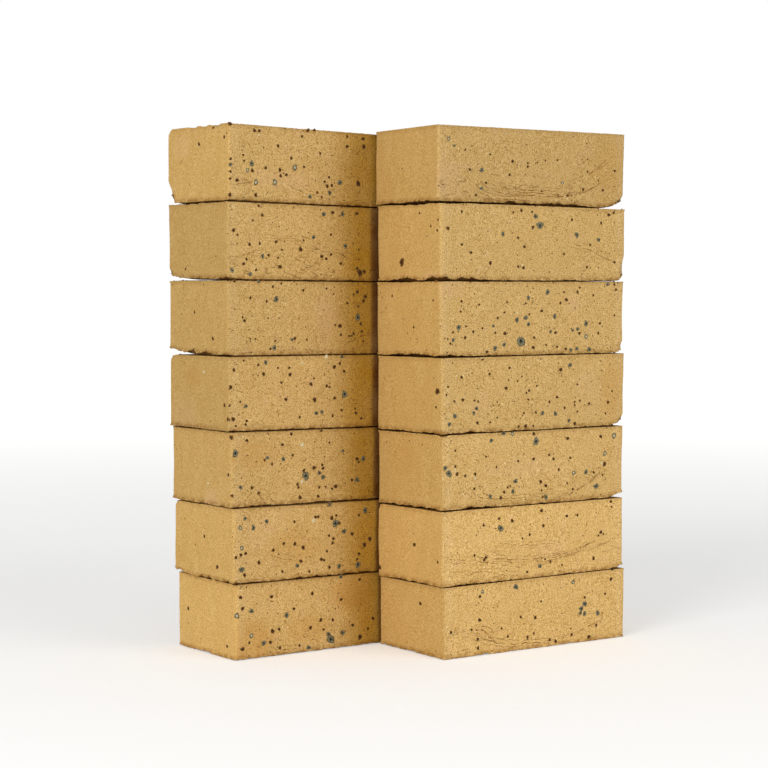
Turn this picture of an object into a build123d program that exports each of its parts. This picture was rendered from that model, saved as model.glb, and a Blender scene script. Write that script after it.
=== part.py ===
"""A stack of solid clay bricks: two columns of courses that touch at one corner.

Every brick is a little different. Its bed may curl up at the far header or at the back, its top
slopes a little, and it was set down slightly out of line. A column is built from the floor up, so
each brick lies on the sloping top of the one under it.

Axes: X runs along the bricks, Y across them to the back, Z up. Lengths are in millimetres and
angles in degrees. The origin is on the floor, under the middle of the stack.
"""

import os
from dataclasses import dataclass

from build123d import *

# The brick
brick_length = 210.0
brick_width = 100.0
brick_height = 66.7

# How much the mould and handling knock off its arrises
arris_bevel = 1.4

# How the two columns stand to each other
column_stagger = 156.0  # the left column's near header stands this far to the left
column_turn = 2.6  # the left column is turned this much, seen from above
column_gap = 1.1  # between the columns, where the left one passes the right one's back corner

# The bricks' rough skins keep their beds this far apart
bed_gap = 0.3


@dataclass
class Curl:
    """A bed that curls up towards one edge."""

    reach: float  # how far in from the edge it starts
    rise: float  # how high it is at the edge


@dataclass
class Brick:
    """One brick, as it came out of the mould and as it was set down."""

    slip_along: float  # its near corner's place, along the column's line and across it
    slip_across: float
    turn: float  # about its near corner, seen from above
    extra_height: float = 0.0  # at the near corner, over the usual height
    slope_along: float = 0.0  # how much its top climbs from its near header to the far one
    slope_across: float = 0.0  # how much its top climbs from the front to the back
    header_curl: Curl | None = None  # at the far header
    back_curl: Curl | None = None


# Both columns, from the floor up
right_column = [
    Brick(3.0, -1.5, 0.7, extra_height=-2.6, slope_along=1.2, slope_across=-0.9),
    Brick(1.0, -1.5, 0.6, 0.4, -0.8, 0.3, header_curl=Curl(18, 3.5)),
    Brick(1.5, -0.5, 0.7, 0.5, 0.2, 0.2, header_curl=Curl(26, 5)),
    Brick(0.0, -1.0, 0.0, 0.9, 0.1, 0.3, header_curl=Curl(28, 4.5)),
    Brick(-0.7, 0.5, -0.2, 0.1, -0.1, 0.0, header_curl=Curl(20, 2)),
    Brick(-1.5, -0.5, -0.7, 2.0, -2.0, 0.6, header_curl=Curl(10, 7)),
    Brick(-4.0, 0.5, -1.1, 0.4, 1.9, -0.3, header_curl=Curl(28, 5)),
]
left_column = [
    Brick(4.5, 3.0, -1.0, extra_height=1.1, slope_along=-1.5, slope_across=0.5),
    Brick(-0.5, -0.5, -0.2, 0.5, -0.7, 0.0, back_curl=Curl(8, 4)),
    Brick(-2.0, 0.0, 0.1),
    Brick(-4.5, -0.5, 0.1, -1.1, 1.2, -0.5),
    Brick(-4.0, 2.0, -0.3, -0.2, -0.5, 0.2, back_curl=Curl(45, 5)),
    Brick(-4.5, 0.5, 0.2, 1.3, -0.7, 0.3, back_curl=Curl(50, 4)),
    Brick(-5.0, -2.0, 1.1, 0.4, -0.3, 0.0, back_curl=Curl(10, 7)),
]


def seat(foot: Plane, height: float, slope_along: float, slope_across: float) -> Plane:
    """The plane that a brick lies on, sloping by so much over a brick's length and width."""
    climb_x = slope_along / brick_length
    climb_y = slope_across / brick_width
    tilted = Plane(origin=(0, 0, height), x_dir=(1, 0, climb_x), z_dir=(-climb_x, -climb_y, 1))
    return Plane(foot * tilted)


def blank(span: float, curl: Curl | None) -> Sketch:
    """A brick's outline seen from one side, with its curl at the far end.

    The clot of clay stands well over the mould, until its top is struck off.
    """
    tall = 1.5 * brick_height
    reach, rise = (curl.reach, curl.rise) if curl else (0.0, 0.0)
    with BuildSketch() as outline:
        with BuildLine():
            bed = Line((0, 0), (span - reach, 0))
            if curl:
                TangentArc(bed @ 1, (span, rise), tangent=bed % 1)
            Polyline((span, rise), (span, tall), (0, tall), (0, 0))
        make_face()
    return outline.sketch


def mould_brick(bed: Plane, top: Plane, brick: Brick) -> Part:
    """One brick between the plane it lies on and the plane its top is struck off at."""
    side = Plane(bed.origin, x_dir=bed.x_dir, z_dir=-bed.y_dir)
    header = Plane(bed.origin, x_dir=bed.y_dir, z_dir=bed.x_dir)
    up = Axis(bed.origin, bed.z_dir)
    with BuildPart() as body:
        with BuildSketch(side):
            add(blank(brick_length, brick.header_curl))
        extrude(amount=-brick_width)
        with BuildSketch(header):
            add(blank(brick_width, brick.back_curl))
        extrude(amount=brick_length, mode=Mode.INTERSECT)
        split(bisect_by=top, keep=Keep.BOTTOM)
        flat_bed = body.faces().filter_by(GeomType.PLANE).sort_by(up)[0]
        curls = body.faces().filter_by(GeomType.CYLINDER)
        smooth_seams = flat_bed.edges().filter_by(lambda edge: edge in curls.edges())
        chamfer(body.edges().filter_by(lambda edge: edge not in smooth_seams), arris_bevel)
    return body.part


def lay_column(name: str, foot: Plane, bricks: list[Brick]) -> list[Part]:
    """A column of bricks, each one on the sloping top of the one before."""
    laid = []
    height, slope_along, slope_across = 0.0, 0.0, 0.0
    for course, brick in enumerate(bricks, start=1):
        bed = seat(foot, height, slope_along, slope_across)
        bed = Plane(bed * Location((brick.slip_along, brick.slip_across, 0), (0, 0, brick.turn)))
        height += brick_height + brick.extra_height + bed_gap
        slope_along += brick.slope_along
        slope_across += brick.slope_across
        next_bed = seat(foot, height, slope_along, slope_across)
        piece = mould_brick(bed, next_bed.offset(-bed_gap), brick)
        piece.label = f"{name}_brick_{course}"
        laid.append(piece)
    return laid


right_foot = Plane.XY
corner = Plane(Location((0, brick_width + column_gap, 0), (0, 0, column_turn)))
left_foot = Plane(corner * Location((-column_stagger, 0, 0)))
stack = lay_column("right", right_foot, right_column) + lay_column("left", left_foot, left_column)

middle = Compound(stack).bounding_box().center()
to_origin = Location((-middle.X, -middle.Y, 0))

os.makedirs("parts", exist_ok=True)
for piece in stack:
    centred = piece.moved(to_origin)
    centred.label = piece.label
    export_step(centred, f"parts/{piece.label}.step")
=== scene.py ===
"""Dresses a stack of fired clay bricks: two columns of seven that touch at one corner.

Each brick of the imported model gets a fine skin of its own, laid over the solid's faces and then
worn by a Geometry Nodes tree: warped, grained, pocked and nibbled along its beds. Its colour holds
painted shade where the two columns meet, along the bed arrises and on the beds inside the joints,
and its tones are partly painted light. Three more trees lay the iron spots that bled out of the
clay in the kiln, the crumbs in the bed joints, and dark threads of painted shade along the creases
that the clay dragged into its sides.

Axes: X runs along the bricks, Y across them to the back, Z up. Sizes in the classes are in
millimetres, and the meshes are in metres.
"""

import logging
import math
from dataclasses import dataclass, field
from enum import Enum
from functools import reduce
from typing import Any

import bmesh
import bpy
import numpy as np
from mathutils import Euler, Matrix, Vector
from mathutils.bvhtree import BVHTree


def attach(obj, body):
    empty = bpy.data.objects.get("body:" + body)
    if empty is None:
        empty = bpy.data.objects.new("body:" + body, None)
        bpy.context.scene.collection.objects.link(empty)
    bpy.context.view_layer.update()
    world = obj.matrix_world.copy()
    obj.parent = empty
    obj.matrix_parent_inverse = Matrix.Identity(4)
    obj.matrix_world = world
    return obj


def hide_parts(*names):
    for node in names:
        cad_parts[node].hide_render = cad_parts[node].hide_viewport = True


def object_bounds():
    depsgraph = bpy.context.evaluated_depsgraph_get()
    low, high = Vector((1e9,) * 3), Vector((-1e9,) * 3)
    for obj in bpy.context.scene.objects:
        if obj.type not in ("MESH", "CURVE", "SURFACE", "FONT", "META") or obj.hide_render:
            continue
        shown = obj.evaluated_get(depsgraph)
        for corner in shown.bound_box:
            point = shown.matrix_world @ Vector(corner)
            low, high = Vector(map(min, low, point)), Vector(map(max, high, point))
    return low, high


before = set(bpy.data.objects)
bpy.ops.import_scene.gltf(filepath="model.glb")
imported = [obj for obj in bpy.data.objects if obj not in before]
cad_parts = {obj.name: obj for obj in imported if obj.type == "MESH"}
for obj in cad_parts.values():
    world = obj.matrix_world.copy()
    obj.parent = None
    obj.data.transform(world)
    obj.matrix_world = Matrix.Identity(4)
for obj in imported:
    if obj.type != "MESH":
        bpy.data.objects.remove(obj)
cad_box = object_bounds()

MM = 0.001
BODY = "root"
log = logging.getLogger("bricks")

Socket = bpy.types.NodeSocket
Triple = tuple[float, float, float]


def paint(red: int, green: int, blue: int) -> tuple[float, ...]:
    """Turns a colour as it looks on a screen into linear light.

    Args:
        red: how red it looks, from 0 to 255.
        green: how green.
        blue: how blue.

    Returns:
        The colour, opaque.
    """
    shares = [value / 255 for value in (red, green, blue)]
    linear = [s / 12.92 if s <= 0.04045 else ((s + 0.055) / 1.055) ** 2.4 for s in shares]
    return (*linear, 1.0)


def smooth(value: np.ndarray, low: float, high: float) -> np.ndarray:
    """A soft step from 0 at low to 1 at high; high may be the lower of the two."""
    share = np.clip((value - low) / (high - low), 0, 1)
    return share * share * (3 - 2 * share)


def store(mesh: bpy.types.Mesh, values: dict[str, Any]) -> None:
    """Stores numbers on a mesh, one for each of its points.

    Args:
        mesh: the mesh.
        values: the numbers, under each name.
    """
    for name, numbers in values.items():
        attribute = mesh.attributes.new(name, "FLOAT", "POINT")
        attribute.data.foreach_set("value", np.ascontiguousarray(numbers, dtype=np.float32))


def link(name: str, data: bpy.types.ID) -> bpy.types.Object:
    """Puts a new object in the scene.

    Args:
        name: the object's name.
        data: the mesh, lamp or camera that it holds.

    Returns:
        The object.
    """
    thing = bpy.data.objects.new(name, data)
    bpy.context.scene.collection.objects.link(thing)
    return thing


def fixed(name: str, shape: bmesh.types.BMesh) -> bpy.types.Mesh:
    """Makes a mesh of a shape that was drawn in memory, and lets the shape go.

    Args:
        name: the mesh's name.
        shape: the shape.

    Returns:
        The mesh.
    """
    mesh = bpy.data.meshes.new(name)
    shape.to_mesh(mesh)
    shape.free()
    return mesh


def set_down(piece: bpy.types.Object) -> bpy.types.Object:
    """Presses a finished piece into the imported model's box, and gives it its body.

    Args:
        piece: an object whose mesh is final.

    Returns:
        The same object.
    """
    places = np.empty(len(piece.data.vertices) * 3, dtype=np.float32)
    piece.data.vertices.foreach_get("co", places)
    inside = np.clip(places.reshape(-1, 3), np.array(cad_box[0]), np.array(cad_box[1]))
    piece.data.vertices.foreach_set("co", inside.astype(np.float32).ravel())
    piece.data.update()
    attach(piece, BODY)
    return piece


class Graph:
    """A node tree, with short ways to add nodes and to join them."""

    def __init__(self, tree: bpy.types.NodeTree) -> None:
        """Starts on a material's, world's or geometry's tree, and clears it."""
        self.tree = tree
        tree.nodes.clear()

    def add(self, kind: str, settings: dict[str, Any] | None = None, **inputs: Any) -> bpy.types.Node:
        """Adds one node.

        Args:
            kind: Blender's name for the node's type.
            settings: the node's own choices, such as its operation.
            inputs: a value or another node's output for each input, by its name or identifier.

        Returns:
            The new node.
        """
        node = self.tree.nodes.new(kind)
        for name, value in (settings or {}).items():
            setattr(node, name, value)
        for key, value in inputs.items():
            exact = [s for s in node.inputs if s.identifier == key]
            found = exact or [s for s in node.inputs if s.name in (key, key.replace("_", " "))]
            self.plug(found[0], value)
        return node

    def plug(self, socket: Socket, value: Any) -> None:
        """Joins another node's output to an input, or sets the input to a constant.

        Args:
            socket: the input.
            value: the other node's output, or the constant.
        """
        if isinstance(value, Socket):
            self.tree.links.new(value, socket)
        else:
            socket.default_value = value

    def output(self, node: bpy.types.Node, identifier: str) -> Socket:
        """One of a node's outputs, where several have the same name."""
        return next(socket for socket in node.outputs if socket.identifier == identifier)

    def maths(self, operation: str, first: Any, second: Any = 0.0, clamp: bool = False) -> Socket:
        """One step of arithmetic, whose result can be kept between 0 and 1."""
        settings = {"operation": operation, "use_clamp": clamp}
        return self.add("ShaderNodeMath", settings, Value=first, Value_001=second).outputs[0]

    def vector(self, operation: str, first: Any, **inputs: Any) -> Socket:
        """One step of arithmetic on vectors."""
        node = self.add("ShaderNodeVectorMath", {"operation": operation}, Vector=first, **inputs)
        return node.outputs["Value" if operation == "LENGTH" else "Vector"]

    def total(self, *values: Any) -> Socket:
        """The sum of several outputs."""
        return reduce(lambda first, second: self.maths("ADD", first, second), values)

    def product(self, *values: Any) -> Socket:
        """The product of several outputs."""
        return reduce(lambda first, second: self.maths("MULTIPLY", first, second), values)

    def step(self, value: Any, low: float, high: float, start: float = 0.0, end: float = 1.0) -> Socket:
        """Runs from start to end as a value goes from low to high, and holds beyond them."""
        ends = {"From_Min": low, "From_Max": high, "To_Min": start, "To_Max": end}
        return self.add("ShaderNodeMapRange", {"clamp": True}, Value=value, **ends).outputs["Result"]

    def per_metre(self, size: Any) -> Any:
        """How many of a length, a constant or an output, fit in a metre."""
        return self.maths("DIVIDE", 1.0, size) if isinstance(size, Socket) else 1 / size

    def noise(
        self, place: Any, size: Any, detail: float = 2.0, rough: float = 0.5, seed: Any = 0.0
    ) -> Socket:
        """Soft noise in space.

        Args:
            place: the output that gives each point's place.
            size: how far apart its lumps are, in metres.
            detail: how many finer layers it has.
            rough: how strong those are.
            seed: which of many patterns it is.

        Returns:
            The noise, from 0 to 1 and mostly near a half.
        """
        inputs = {"Vector": place, "W": seed, "Detail": detail, "Roughness": rough}
        inputs["Scale"] = self.per_metre(size)
        return self.add("ShaderNodeTexNoise", {"noise_dimensions": "4D"}, **inputs).outputs[0]

    def cells(self, place: Any, size: Any, seed: Any = 0.0) -> tuple[Socket, Socket]:
        """Scattered points in space.

        Args:
            place: the output that gives each point's place.
            size: how far apart they are, in metres.
            seed: which of many patterns it is.

        Returns:
            The distance to the nearest point in units of size, and a random colour for it.
        """
        inputs = {"Vector": place, "W": seed, "Scale": self.per_metre(size)}
        settings = {"voronoi_dimensions": "4D", "feature": "F1"}
        node = self.add("ShaderNodeTexVoronoi", settings, **inputs)
        return node.outputs["Distance"], node.outputs["Color"]

    def tint(self, share: Any, first: Any, second: Any, mode: str = "MIX") -> Socket:
        """Lays a second colour over the first.

        Args:
            share: how much of the second one shows.
            first: the colour underneath.
            second: the colour on top.
            mode: how the two are mixed.

        Returns:
            The mixed colour.
        """
        settings = {"data_type": "RGBA", "blend_type": mode}
        node = self.add("ShaderNodeMix", settings, Factor_Float=share, A_Color=first, B_Color=second)
        return self.output(node, "Result_Color")

    def coats(self, coat: Any, *layers: tuple[Any, Any]) -> Socket:
        """Lays several colours over a first one in turn.

        Args:
            coat: the first colour.
            layers: how much of each other colour shows, and that colour.

        Returns:
            The mixed colour.
        """
        for share, colour in layers:
            coat = self.tint(share, coat, colour)
        return coat

    def matt(self, colour: Any, rough: Any, shine: float, height: Any = None, depth: float = 0.0) -> Socket:
        """A rough surface.

        Args:
            colour: its colour.
            rough: how rough it is.
            shine: how much it mirrors.
            height: an output that its bumps follow, if it has any.
            depth: how deep they are, in millimetres.

        Returns:
            The shader's output.
        """
        inputs = {"Base_Color": colour, "Roughness": rough, "Specular_IOR_Level": shine}
        if height is not None:
            bump = self.add("ShaderNodeBump", Height=height, Distance=depth * MM, Strength=1.0)
            inputs["Normal"] = bump.outputs[0]
        return self.add("ShaderNodeBsdfPrincipled", **inputs).outputs[0]

    def shown(self) -> Socket:
        """Finds what the camera sees straight, in a reflection or through glass.

        Returns:
            An output that is 1 there, and 0 for the light that falls on the stack.
        """
        path = self.add("ShaderNodeLightPath").outputs
        seen = self.maths("MAXIMUM", path["Is Camera Ray"], path["Is Glossy Ray"])
        return self.maths("MAXIMUM", seen, path["Is Transmission Ray"])

    def painted(self, name: str) -> Socket:
        """In a material, the number that a mesh holds under a name."""
        return self.add("ShaderNodeAttribute", {"attribute_name": name}).outputs["Fac"]

    def stored(self, name: str) -> Socket:
        """In a geometry tree, the number that a mesh holds under a name."""
        node = self.add("GeometryNodeInputNamedAttribute", {"data_type": "FLOAT"}, Name=name)
        return node.outputs["Attribute"]

    def marked(self, geometry: Socket, name: str, value: Any) -> Socket:
        """Stores a number on the points of a geometry tree.

        Args:
            geometry: the geometry's output.
            name: the number's name.
            value: the number, a constant or an output.

        Returns:
            The same geometry, which now holds the number.
        """
        settings = {"data_type": "FLOAT", "domain": "POINT"}
        inputs = {"Geometry": geometry, "Name": name, "Value": value}
        return self.add("GeometryNodeStoreNamedAttribute", settings, **inputs).outputs[0]

    def moved(self, geometry: Socket, **where: Any) -> Socket:
        """In a geometry tree, the same geometry moved by an Offset or to a Position."""
        return self.add("GeometryNodeSetPosition", Geometry=geometry, **where).outputs[0]

    def dice(self, seed: Any) -> Socket:
        """In a geometry tree, a random number from 0 to 1 for each point."""
        settings = {"data_type": "FLOAT"}
        return self.output(self.add("FunctionNodeRandomValue", settings, Seed=seed), "Value_001")


class Finish:
    """What every finish does alike. Each kind describes its own surface."""

    title = ""

    def make(self) -> bpy.types.Material:
        """Builds the material.

        Returns:
            The material, whose patterns lie in the piece's own space.
        """
        material = bpy.data.materials.new(self.title)
        material.use_nodes = True
        g = Graph(material.node_tree)
        place = g.add("ShaderNodeTexCoord").outputs["Object"]
        g.add("ShaderNodeOutputMaterial", Surface=self.surface(g, place))
        return material

    def surface(self, g: Graph, place: Socket) -> Socket:
        """The shader of the finish.

        Args:
            g: the material's graph.
            place: the output that gives each point's place.

        Returns:
            The shader's output.
        """
        raise NotImplementedError


@dataclass(frozen=True)
class Clay(Finish):
    """The fired clay: smooth mustard-buff headers and grainy, sanded stretchers.

    It reads what each skin has stored about its faces.
    """

    title = "fired_clay"
    header: tuple = paint(199, 159, 92)
    header_pale: tuple = paint(212, 175, 110)
    stretcher: tuple = paint(206, 168, 103)
    grain_dark: tuple = paint(160, 118, 52)
    grain_pale: tuple = paint(230, 196, 132)
    pore: tuple = paint(84, 56, 24)
    sand: tuple = paint(240, 220, 164)
    blush: tuple = paint(218, 176, 132)
    toast: tuple = paint(190, 138, 62)
    band: tuple = paint(216, 183, 128)
    # painted shade where the two columns meet: an ochre tint multiplied in, and a brown at the corner itself
    scorch: tuple = paint(220, 197, 4)
    junction_shade_dark: tuple = paint(122, 78, 4)
    # the brown of the painted shade along the bed arrises and in the creases
    edge: tuple = paint(136, 92, 36)
    # painted shade on the bed faces inside the joints
    soot: tuple = paint(104, 62, 6)
    grain_size: float = 1.1
    lump_size: float = 5.0
    cloud_size: float = 26.0
    flush_size: float = 10.0
    streak_size: float = 9.0
    seam_size: float = 6.0
    pore_spacing: float = 3.6
    sand_spacing: float = 4.4
    bump_depth: float = 0.3
    shine: float = 0.15

    def surface(self, g: Graph, place: Socket) -> Socket:
        """The clay's shader: headers and stretchers, what time and the kiln laid on them, and painted shade.

        Args:
            g: the material's graph.
            place: the output that gives each point's place.

        Returns:
            The shader's output.
        """
        ragged = g.step(g.noise(place, self.seam_size * MM, 3, 0.6, 9.0), 0.25, 0.75, -5.0, 5.0)
        stretch = g.step(g.total(g.painted("from_arris"), ragged), -3.0, 4.0)
        grain = g.noise(place, self.grain_size * MM, 3, 0.75, 1.0)
        lumps = g.noise(place, self.lump_size * MM, 2, 0.6, 2.0)
        cloud = g.noise(place, self.cloud_size * MM, 3, 0.5, 4.0)
        wrinkle = self.wrinkles(g, place)
        pore, sand = self.specks(g, place)
        share = g.step(stretch, 0.2, 0.7, 0.2, 1.0)
        side = self.stretcher_coat(g, place, grain, lumps, cloud)
        patchy = g.step(g.total(cloud, lumps), 0.7, 1.2, 0.4, 1.1)
        # noise that breaks up the painted shade along the bed arrises
        arris_shade_breakup = g.step(g.noise(place, self.lump_size * MM, 3, 0.7, 7.0), 0.36, 0.6)
        coat = g.coats(
            g.tint(stretch, self.header_coat(g, place, grain), side),
            (g.product(g.step(g.painted("blush"), 0.0, 1.0), patchy), self.blush),
            (g.product(g.step(g.painted("blush"), 0.0, -1.0), patchy), self.toast),
            # painted shade in the creases, beside their bumps
            (g.product(wrinkle, 0.5), self.edge),
            (g.product(sand, share, 0.8), self.sand),
            (g.product(pore, share, 0.85), self.pore),
            # painted shade along the bed arrises, mostly the bottom one
            (g.product(g.painted("edge"), arris_shade_breakup, 0.85), self.edge),
        )
        # Painted shade near the corner where the two columns meet: an ochre tint multiplied in, brown at the
        # corner, with grain in it.
        patchy = g.step(g.total(cloud, grain), 0.7, 1.3, 0.6, 1.2)
        scorch = g.maths("MULTIPLY", g.painted("scorch"), patchy, True)
        junction_shade_colour = g.tint(g.step(g.painted("scorch"), 0.8, 1.0), self.scorch, self.junction_shade_dark)
        coat = g.coats(
            g.tint(scorch, coat, junction_shade_colour, "MULTIPLY"),
            (g.product(scorch, g.step(grain, 0.5, 0.36, 0.0, 0.6)), self.pore),
            (g.product(scorch, g.step(grain, 0.52, 0.64, 0.0, 0.5)), self.grain_dark),
            # painted shade on the bed faces inside the joints
            (g.painted("soot"), self.soot),
        )
        # Each brick's tone, partly its own and partly painted light.
        tone = g.add("ShaderNodeHueSaturation", Color=coat, Value=g.painted("tone"), Fac=1.0)
        raised = g.total(
            g.product(grain, g.step(stretch, 0.3, 0.7, 0.3, 1.0)),
            g.product(lumps, 0.8, share),
            g.product(pore, share, -1.4),
            g.product(wrinkle, -1.6),
        )
        rough = g.step(grain, 0.3, 0.7, 0.82, 0.96)
        return g.matt(tone.outputs[0], rough, self.shine, raised, self.bump_depth)

    def header_coat(self, g: Graph, place: Socket, grain: Socket) -> Socket:
        """The smooth ends, faintly streaked where they slid out of the mould.

        Args:
            g: the material's graph.
            place: the output that gives each point's place.
            grain: the output that gives the fine grain.

        Returns:
            The colour's output.
        """
        drawn = g.vector("MULTIPLY", place, Vector_001=(1, 1, 0.4))
        streaks = g.noise(drawn, self.streak_size * MM, 3, 0.55)
        return g.coats(
            self.header,
            (g.step(streaks, 0.42, 0.72, 0.0, 0.5), self.header_pale),
            (g.step(grain, 0.5, 0.35, 0.0, 0.75), self.grain_dark),
            (g.step(grain, 0.52, 0.66, 0.0, 0.8), self.grain_pale),
        )

    def stretcher_coat(
        self, g: Graph, place: Socket, grain: Socket, lumps: Socket, cloud: Socket
    ) -> Socket:
        """The sanded sides, mottled at three sizes.

        Args:
            g: the material's graph.
            place: the output that gives each point's place.
            grain: the output that gives the fine grain.
            lumps: the same for the lumps.
            cloud: the same for the broad clouds.

        Returns:
            The colour's output.
        """
        flush = g.noise(place, self.flush_size * MM, 2, 0.5, 12.0)
        uneven = g.total(g.painted("from_arris"), g.step(lumps, 0.3, 0.7, -3.0, 3.0))
        return g.coats(
            self.stretcher,
            (g.step(cloud, 0.35, 0.65, 0.0, 0.2), self.grain_pale),
            (g.step(flush, 0.56, 0.72, 0.0, 0.45), self.blush),
            (g.step(lumps, 0.5, 0.32, 0.0, 0.2), self.grain_dark),
            (g.step(lumps, 0.52, 0.7, 0.0, 0.15), self.grain_pale),
            (g.step(uneven, 13.0, 6.0, 0.0, 0.4), self.band),
            (g.step(grain, 0.49, 0.38), self.grain_dark),
            (g.step(grain, 0.52, 0.64), self.grain_pale),
        )

    def wrinkles(self, g: Graph, place: Socket) -> Socket:
        """Thin creases that run along the brick, where the clay dragged in the mould.

        Args:
            g: the material's graph.
            place: the output that gives each point's place.

        Returns:
            An output that is 1 in the creases.
        """
        drawn = g.vector("MULTIPLY", place, Vector_001=(0.25, 0.25, 1))
        flow = g.noise(drawn, self.streak_size * MM, 2, 0.55, 5.0)
        line = g.step(g.maths("ABSOLUTE", g.maths("SUBTRACT", flow, 0.5)), 0.018, 0.003)
        broken = g.step(g.noise(place, self.streak_size * MM, 2, 0.5, 6.0), 0.48, 0.6)
        return g.product(line, broken, g.painted("drag"), g.step(g.painted("from_arris"), -1.0, 4.0))

    def specks(self, g: Graph, place: Socket) -> tuple[Socket, Socket]:
        """The open pores, and the grains of pale sand.

        Args:
            g: the material's graph.
            place: the output that gives each point's place.

        Returns:
            An output that is 1 in the pores, and one that is 1 on the sand.
        """
        near_pore, pore_dice = g.cells(place, self.pore_spacing * MM, 1.0)
        near_sand, sand_dice = g.cells(place, self.sand_spacing * MM, 2.0)
        pore = g.product(g.step(near_pore, 0.24, 0.14), g.step(pore_dice, 0.5, 0.56))
        return pore, g.product(g.step(near_sand, 0.22, 0.14), g.step(sand_dice, 0.62, 0.66))


@dataclass(frozen=True)
class IronGlaze(Finish):
    """Iron that bled out in the kiln: brown pits, slate-grey glassy spots, and some pale-eyed ones.

    It reads how far out on its spot each point is, and what kind of spot it is.
    """

    title = "iron_glaze"
    pit: tuple = paint(50, 34, 18)
    rim: tuple = paint(112, 78, 38)
    core: tuple = paint(30, 26, 14)
    slate: tuple = paint(100, 95, 70)
    glass: tuple = paint(148, 146, 120)
    eye: tuple = paint(214, 202, 160)
    ring: tuple = paint(66, 54, 30)
    halo: tuple = paint(160, 120, 62)
    mottle_size: float = 1.1
    fleck_size: float = 1.2
    bump_size: float = 0.7
    bump_depth: float = 0.15
    shine: float = 0.15

    def surface(self, g: Graph, place: Socket) -> Socket:
        """The glaze's shader: a brown or a slate spot, with its eye and its halo.

        Args:
            g: the material's graph.
            place: the output that gives each point's place.

        Returns:
            The shader's output.
        """
        uneven = g.step(g.noise(place, self.mottle_size * MM), 0.3, 0.7, -0.2, 0.2)
        out = g.maths("ADD", g.painted("out"), uneven)
        slate, eyed = g.painted("slate"), g.painted("eyed")
        fleck = g.step(g.noise(place, self.fleck_size * MM, 2, 0.6, 3.0), 0.46, 0.6)
        grey = g.coats(
            self.core,
            (g.step(out, 0.2, 0.46), self.slate),
            (g.product(fleck, g.step(out, 0.3, 0.5), 0.85), self.glass),
            (g.step(out, 0.72, 0.86), self.ring),
        )
        coat = g.coats(
            g.tint(g.step(out, 0.2, 0.75), self.pit, self.rim),
            (slate, grey),
            (g.product(eyed, g.step(out, 0.42, 0.25)), self.eye),
            (g.step(out, 0.84, 1.02), self.halo),
            (g.step(eyed, 1.4, 1.6), self.eye),
        )
        rough = g.step(slate, 0.0, 1.0, 0.85, 0.6)
        bumps = g.noise(place, self.bump_size * MM)
        return g.matt(coat, rough, self.shine, bumps, self.bump_depth)


@dataclass(frozen=True)
class Crumb(Finish):
    """Crumbs of clay and dark slag in the bed joints, a different shade for each, and the creases' painted
    shade.
    """

    title = "joint_crumb"
    clay: tuple = paint(156, 112, 54)
    slag_and_crease_shade: tuple = paint(46, 28, 12)
    mottle_size: float = 0.8
    rough: float = 0.9
    shine: float = 0.2

    def surface(self, g: Graph, place: Socket) -> Socket:
        """The crumbs' shader.

        Args:
            g: the material's graph.
            place: the output that gives each point's place.

        Returns:
            The shader's output.
        """
        uneven = g.step(g.noise(place, self.mottle_size * MM), 0.3, 0.7, -0.2, 0.2)
        shade = g.maths("ADD", g.painted("shade"), uneven, True)
        return g.matt(g.tint(shade, self.slag_and_crease_shade, self.clay), self.rough, self.shine)


@dataclass(frozen=True)
class Paper(Finish):
    """The pale sweep of matt paper that the stack stands on. It pales into the background."""

    title = "paper"
    colour: tuple = paint(238, 238, 236)
    near_lift: float = 0.32
    far_lift: float = 0.66
    near_reach: float = 0.6
    far_reach: float = 3.2
    rough: float = 0.9
    shine: float = 0.1

    def surface(self, g: Graph, place: Socket) -> Socket:
        """The paper's shader, lifted towards white where the camera sees it.

        Args:
            g: the material's graph.
            place: the output that gives each point's place.

        Returns:
            The shader's output.
        """
        away = g.vector("LENGTH", place)
        strength = g.step(away, self.near_reach, self.far_reach, self.near_lift, self.far_lift)
        lift = g.add("ShaderNodeEmission", Strength=g.maths("MULTIPLY", g.shown(), strength))
        both = g.add("ShaderNodeAddShader")
        g.plug(both.inputs[0], g.matt(self.colour, self.rough, self.shine))
        g.plug(both.inputs[1], lift.outputs[0])
        return both.outputs[0]


class Column(Enum):
    """Which of the two columns a brick belongs to."""

    RIGHT = "right"
    LEFT = "left"


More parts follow.
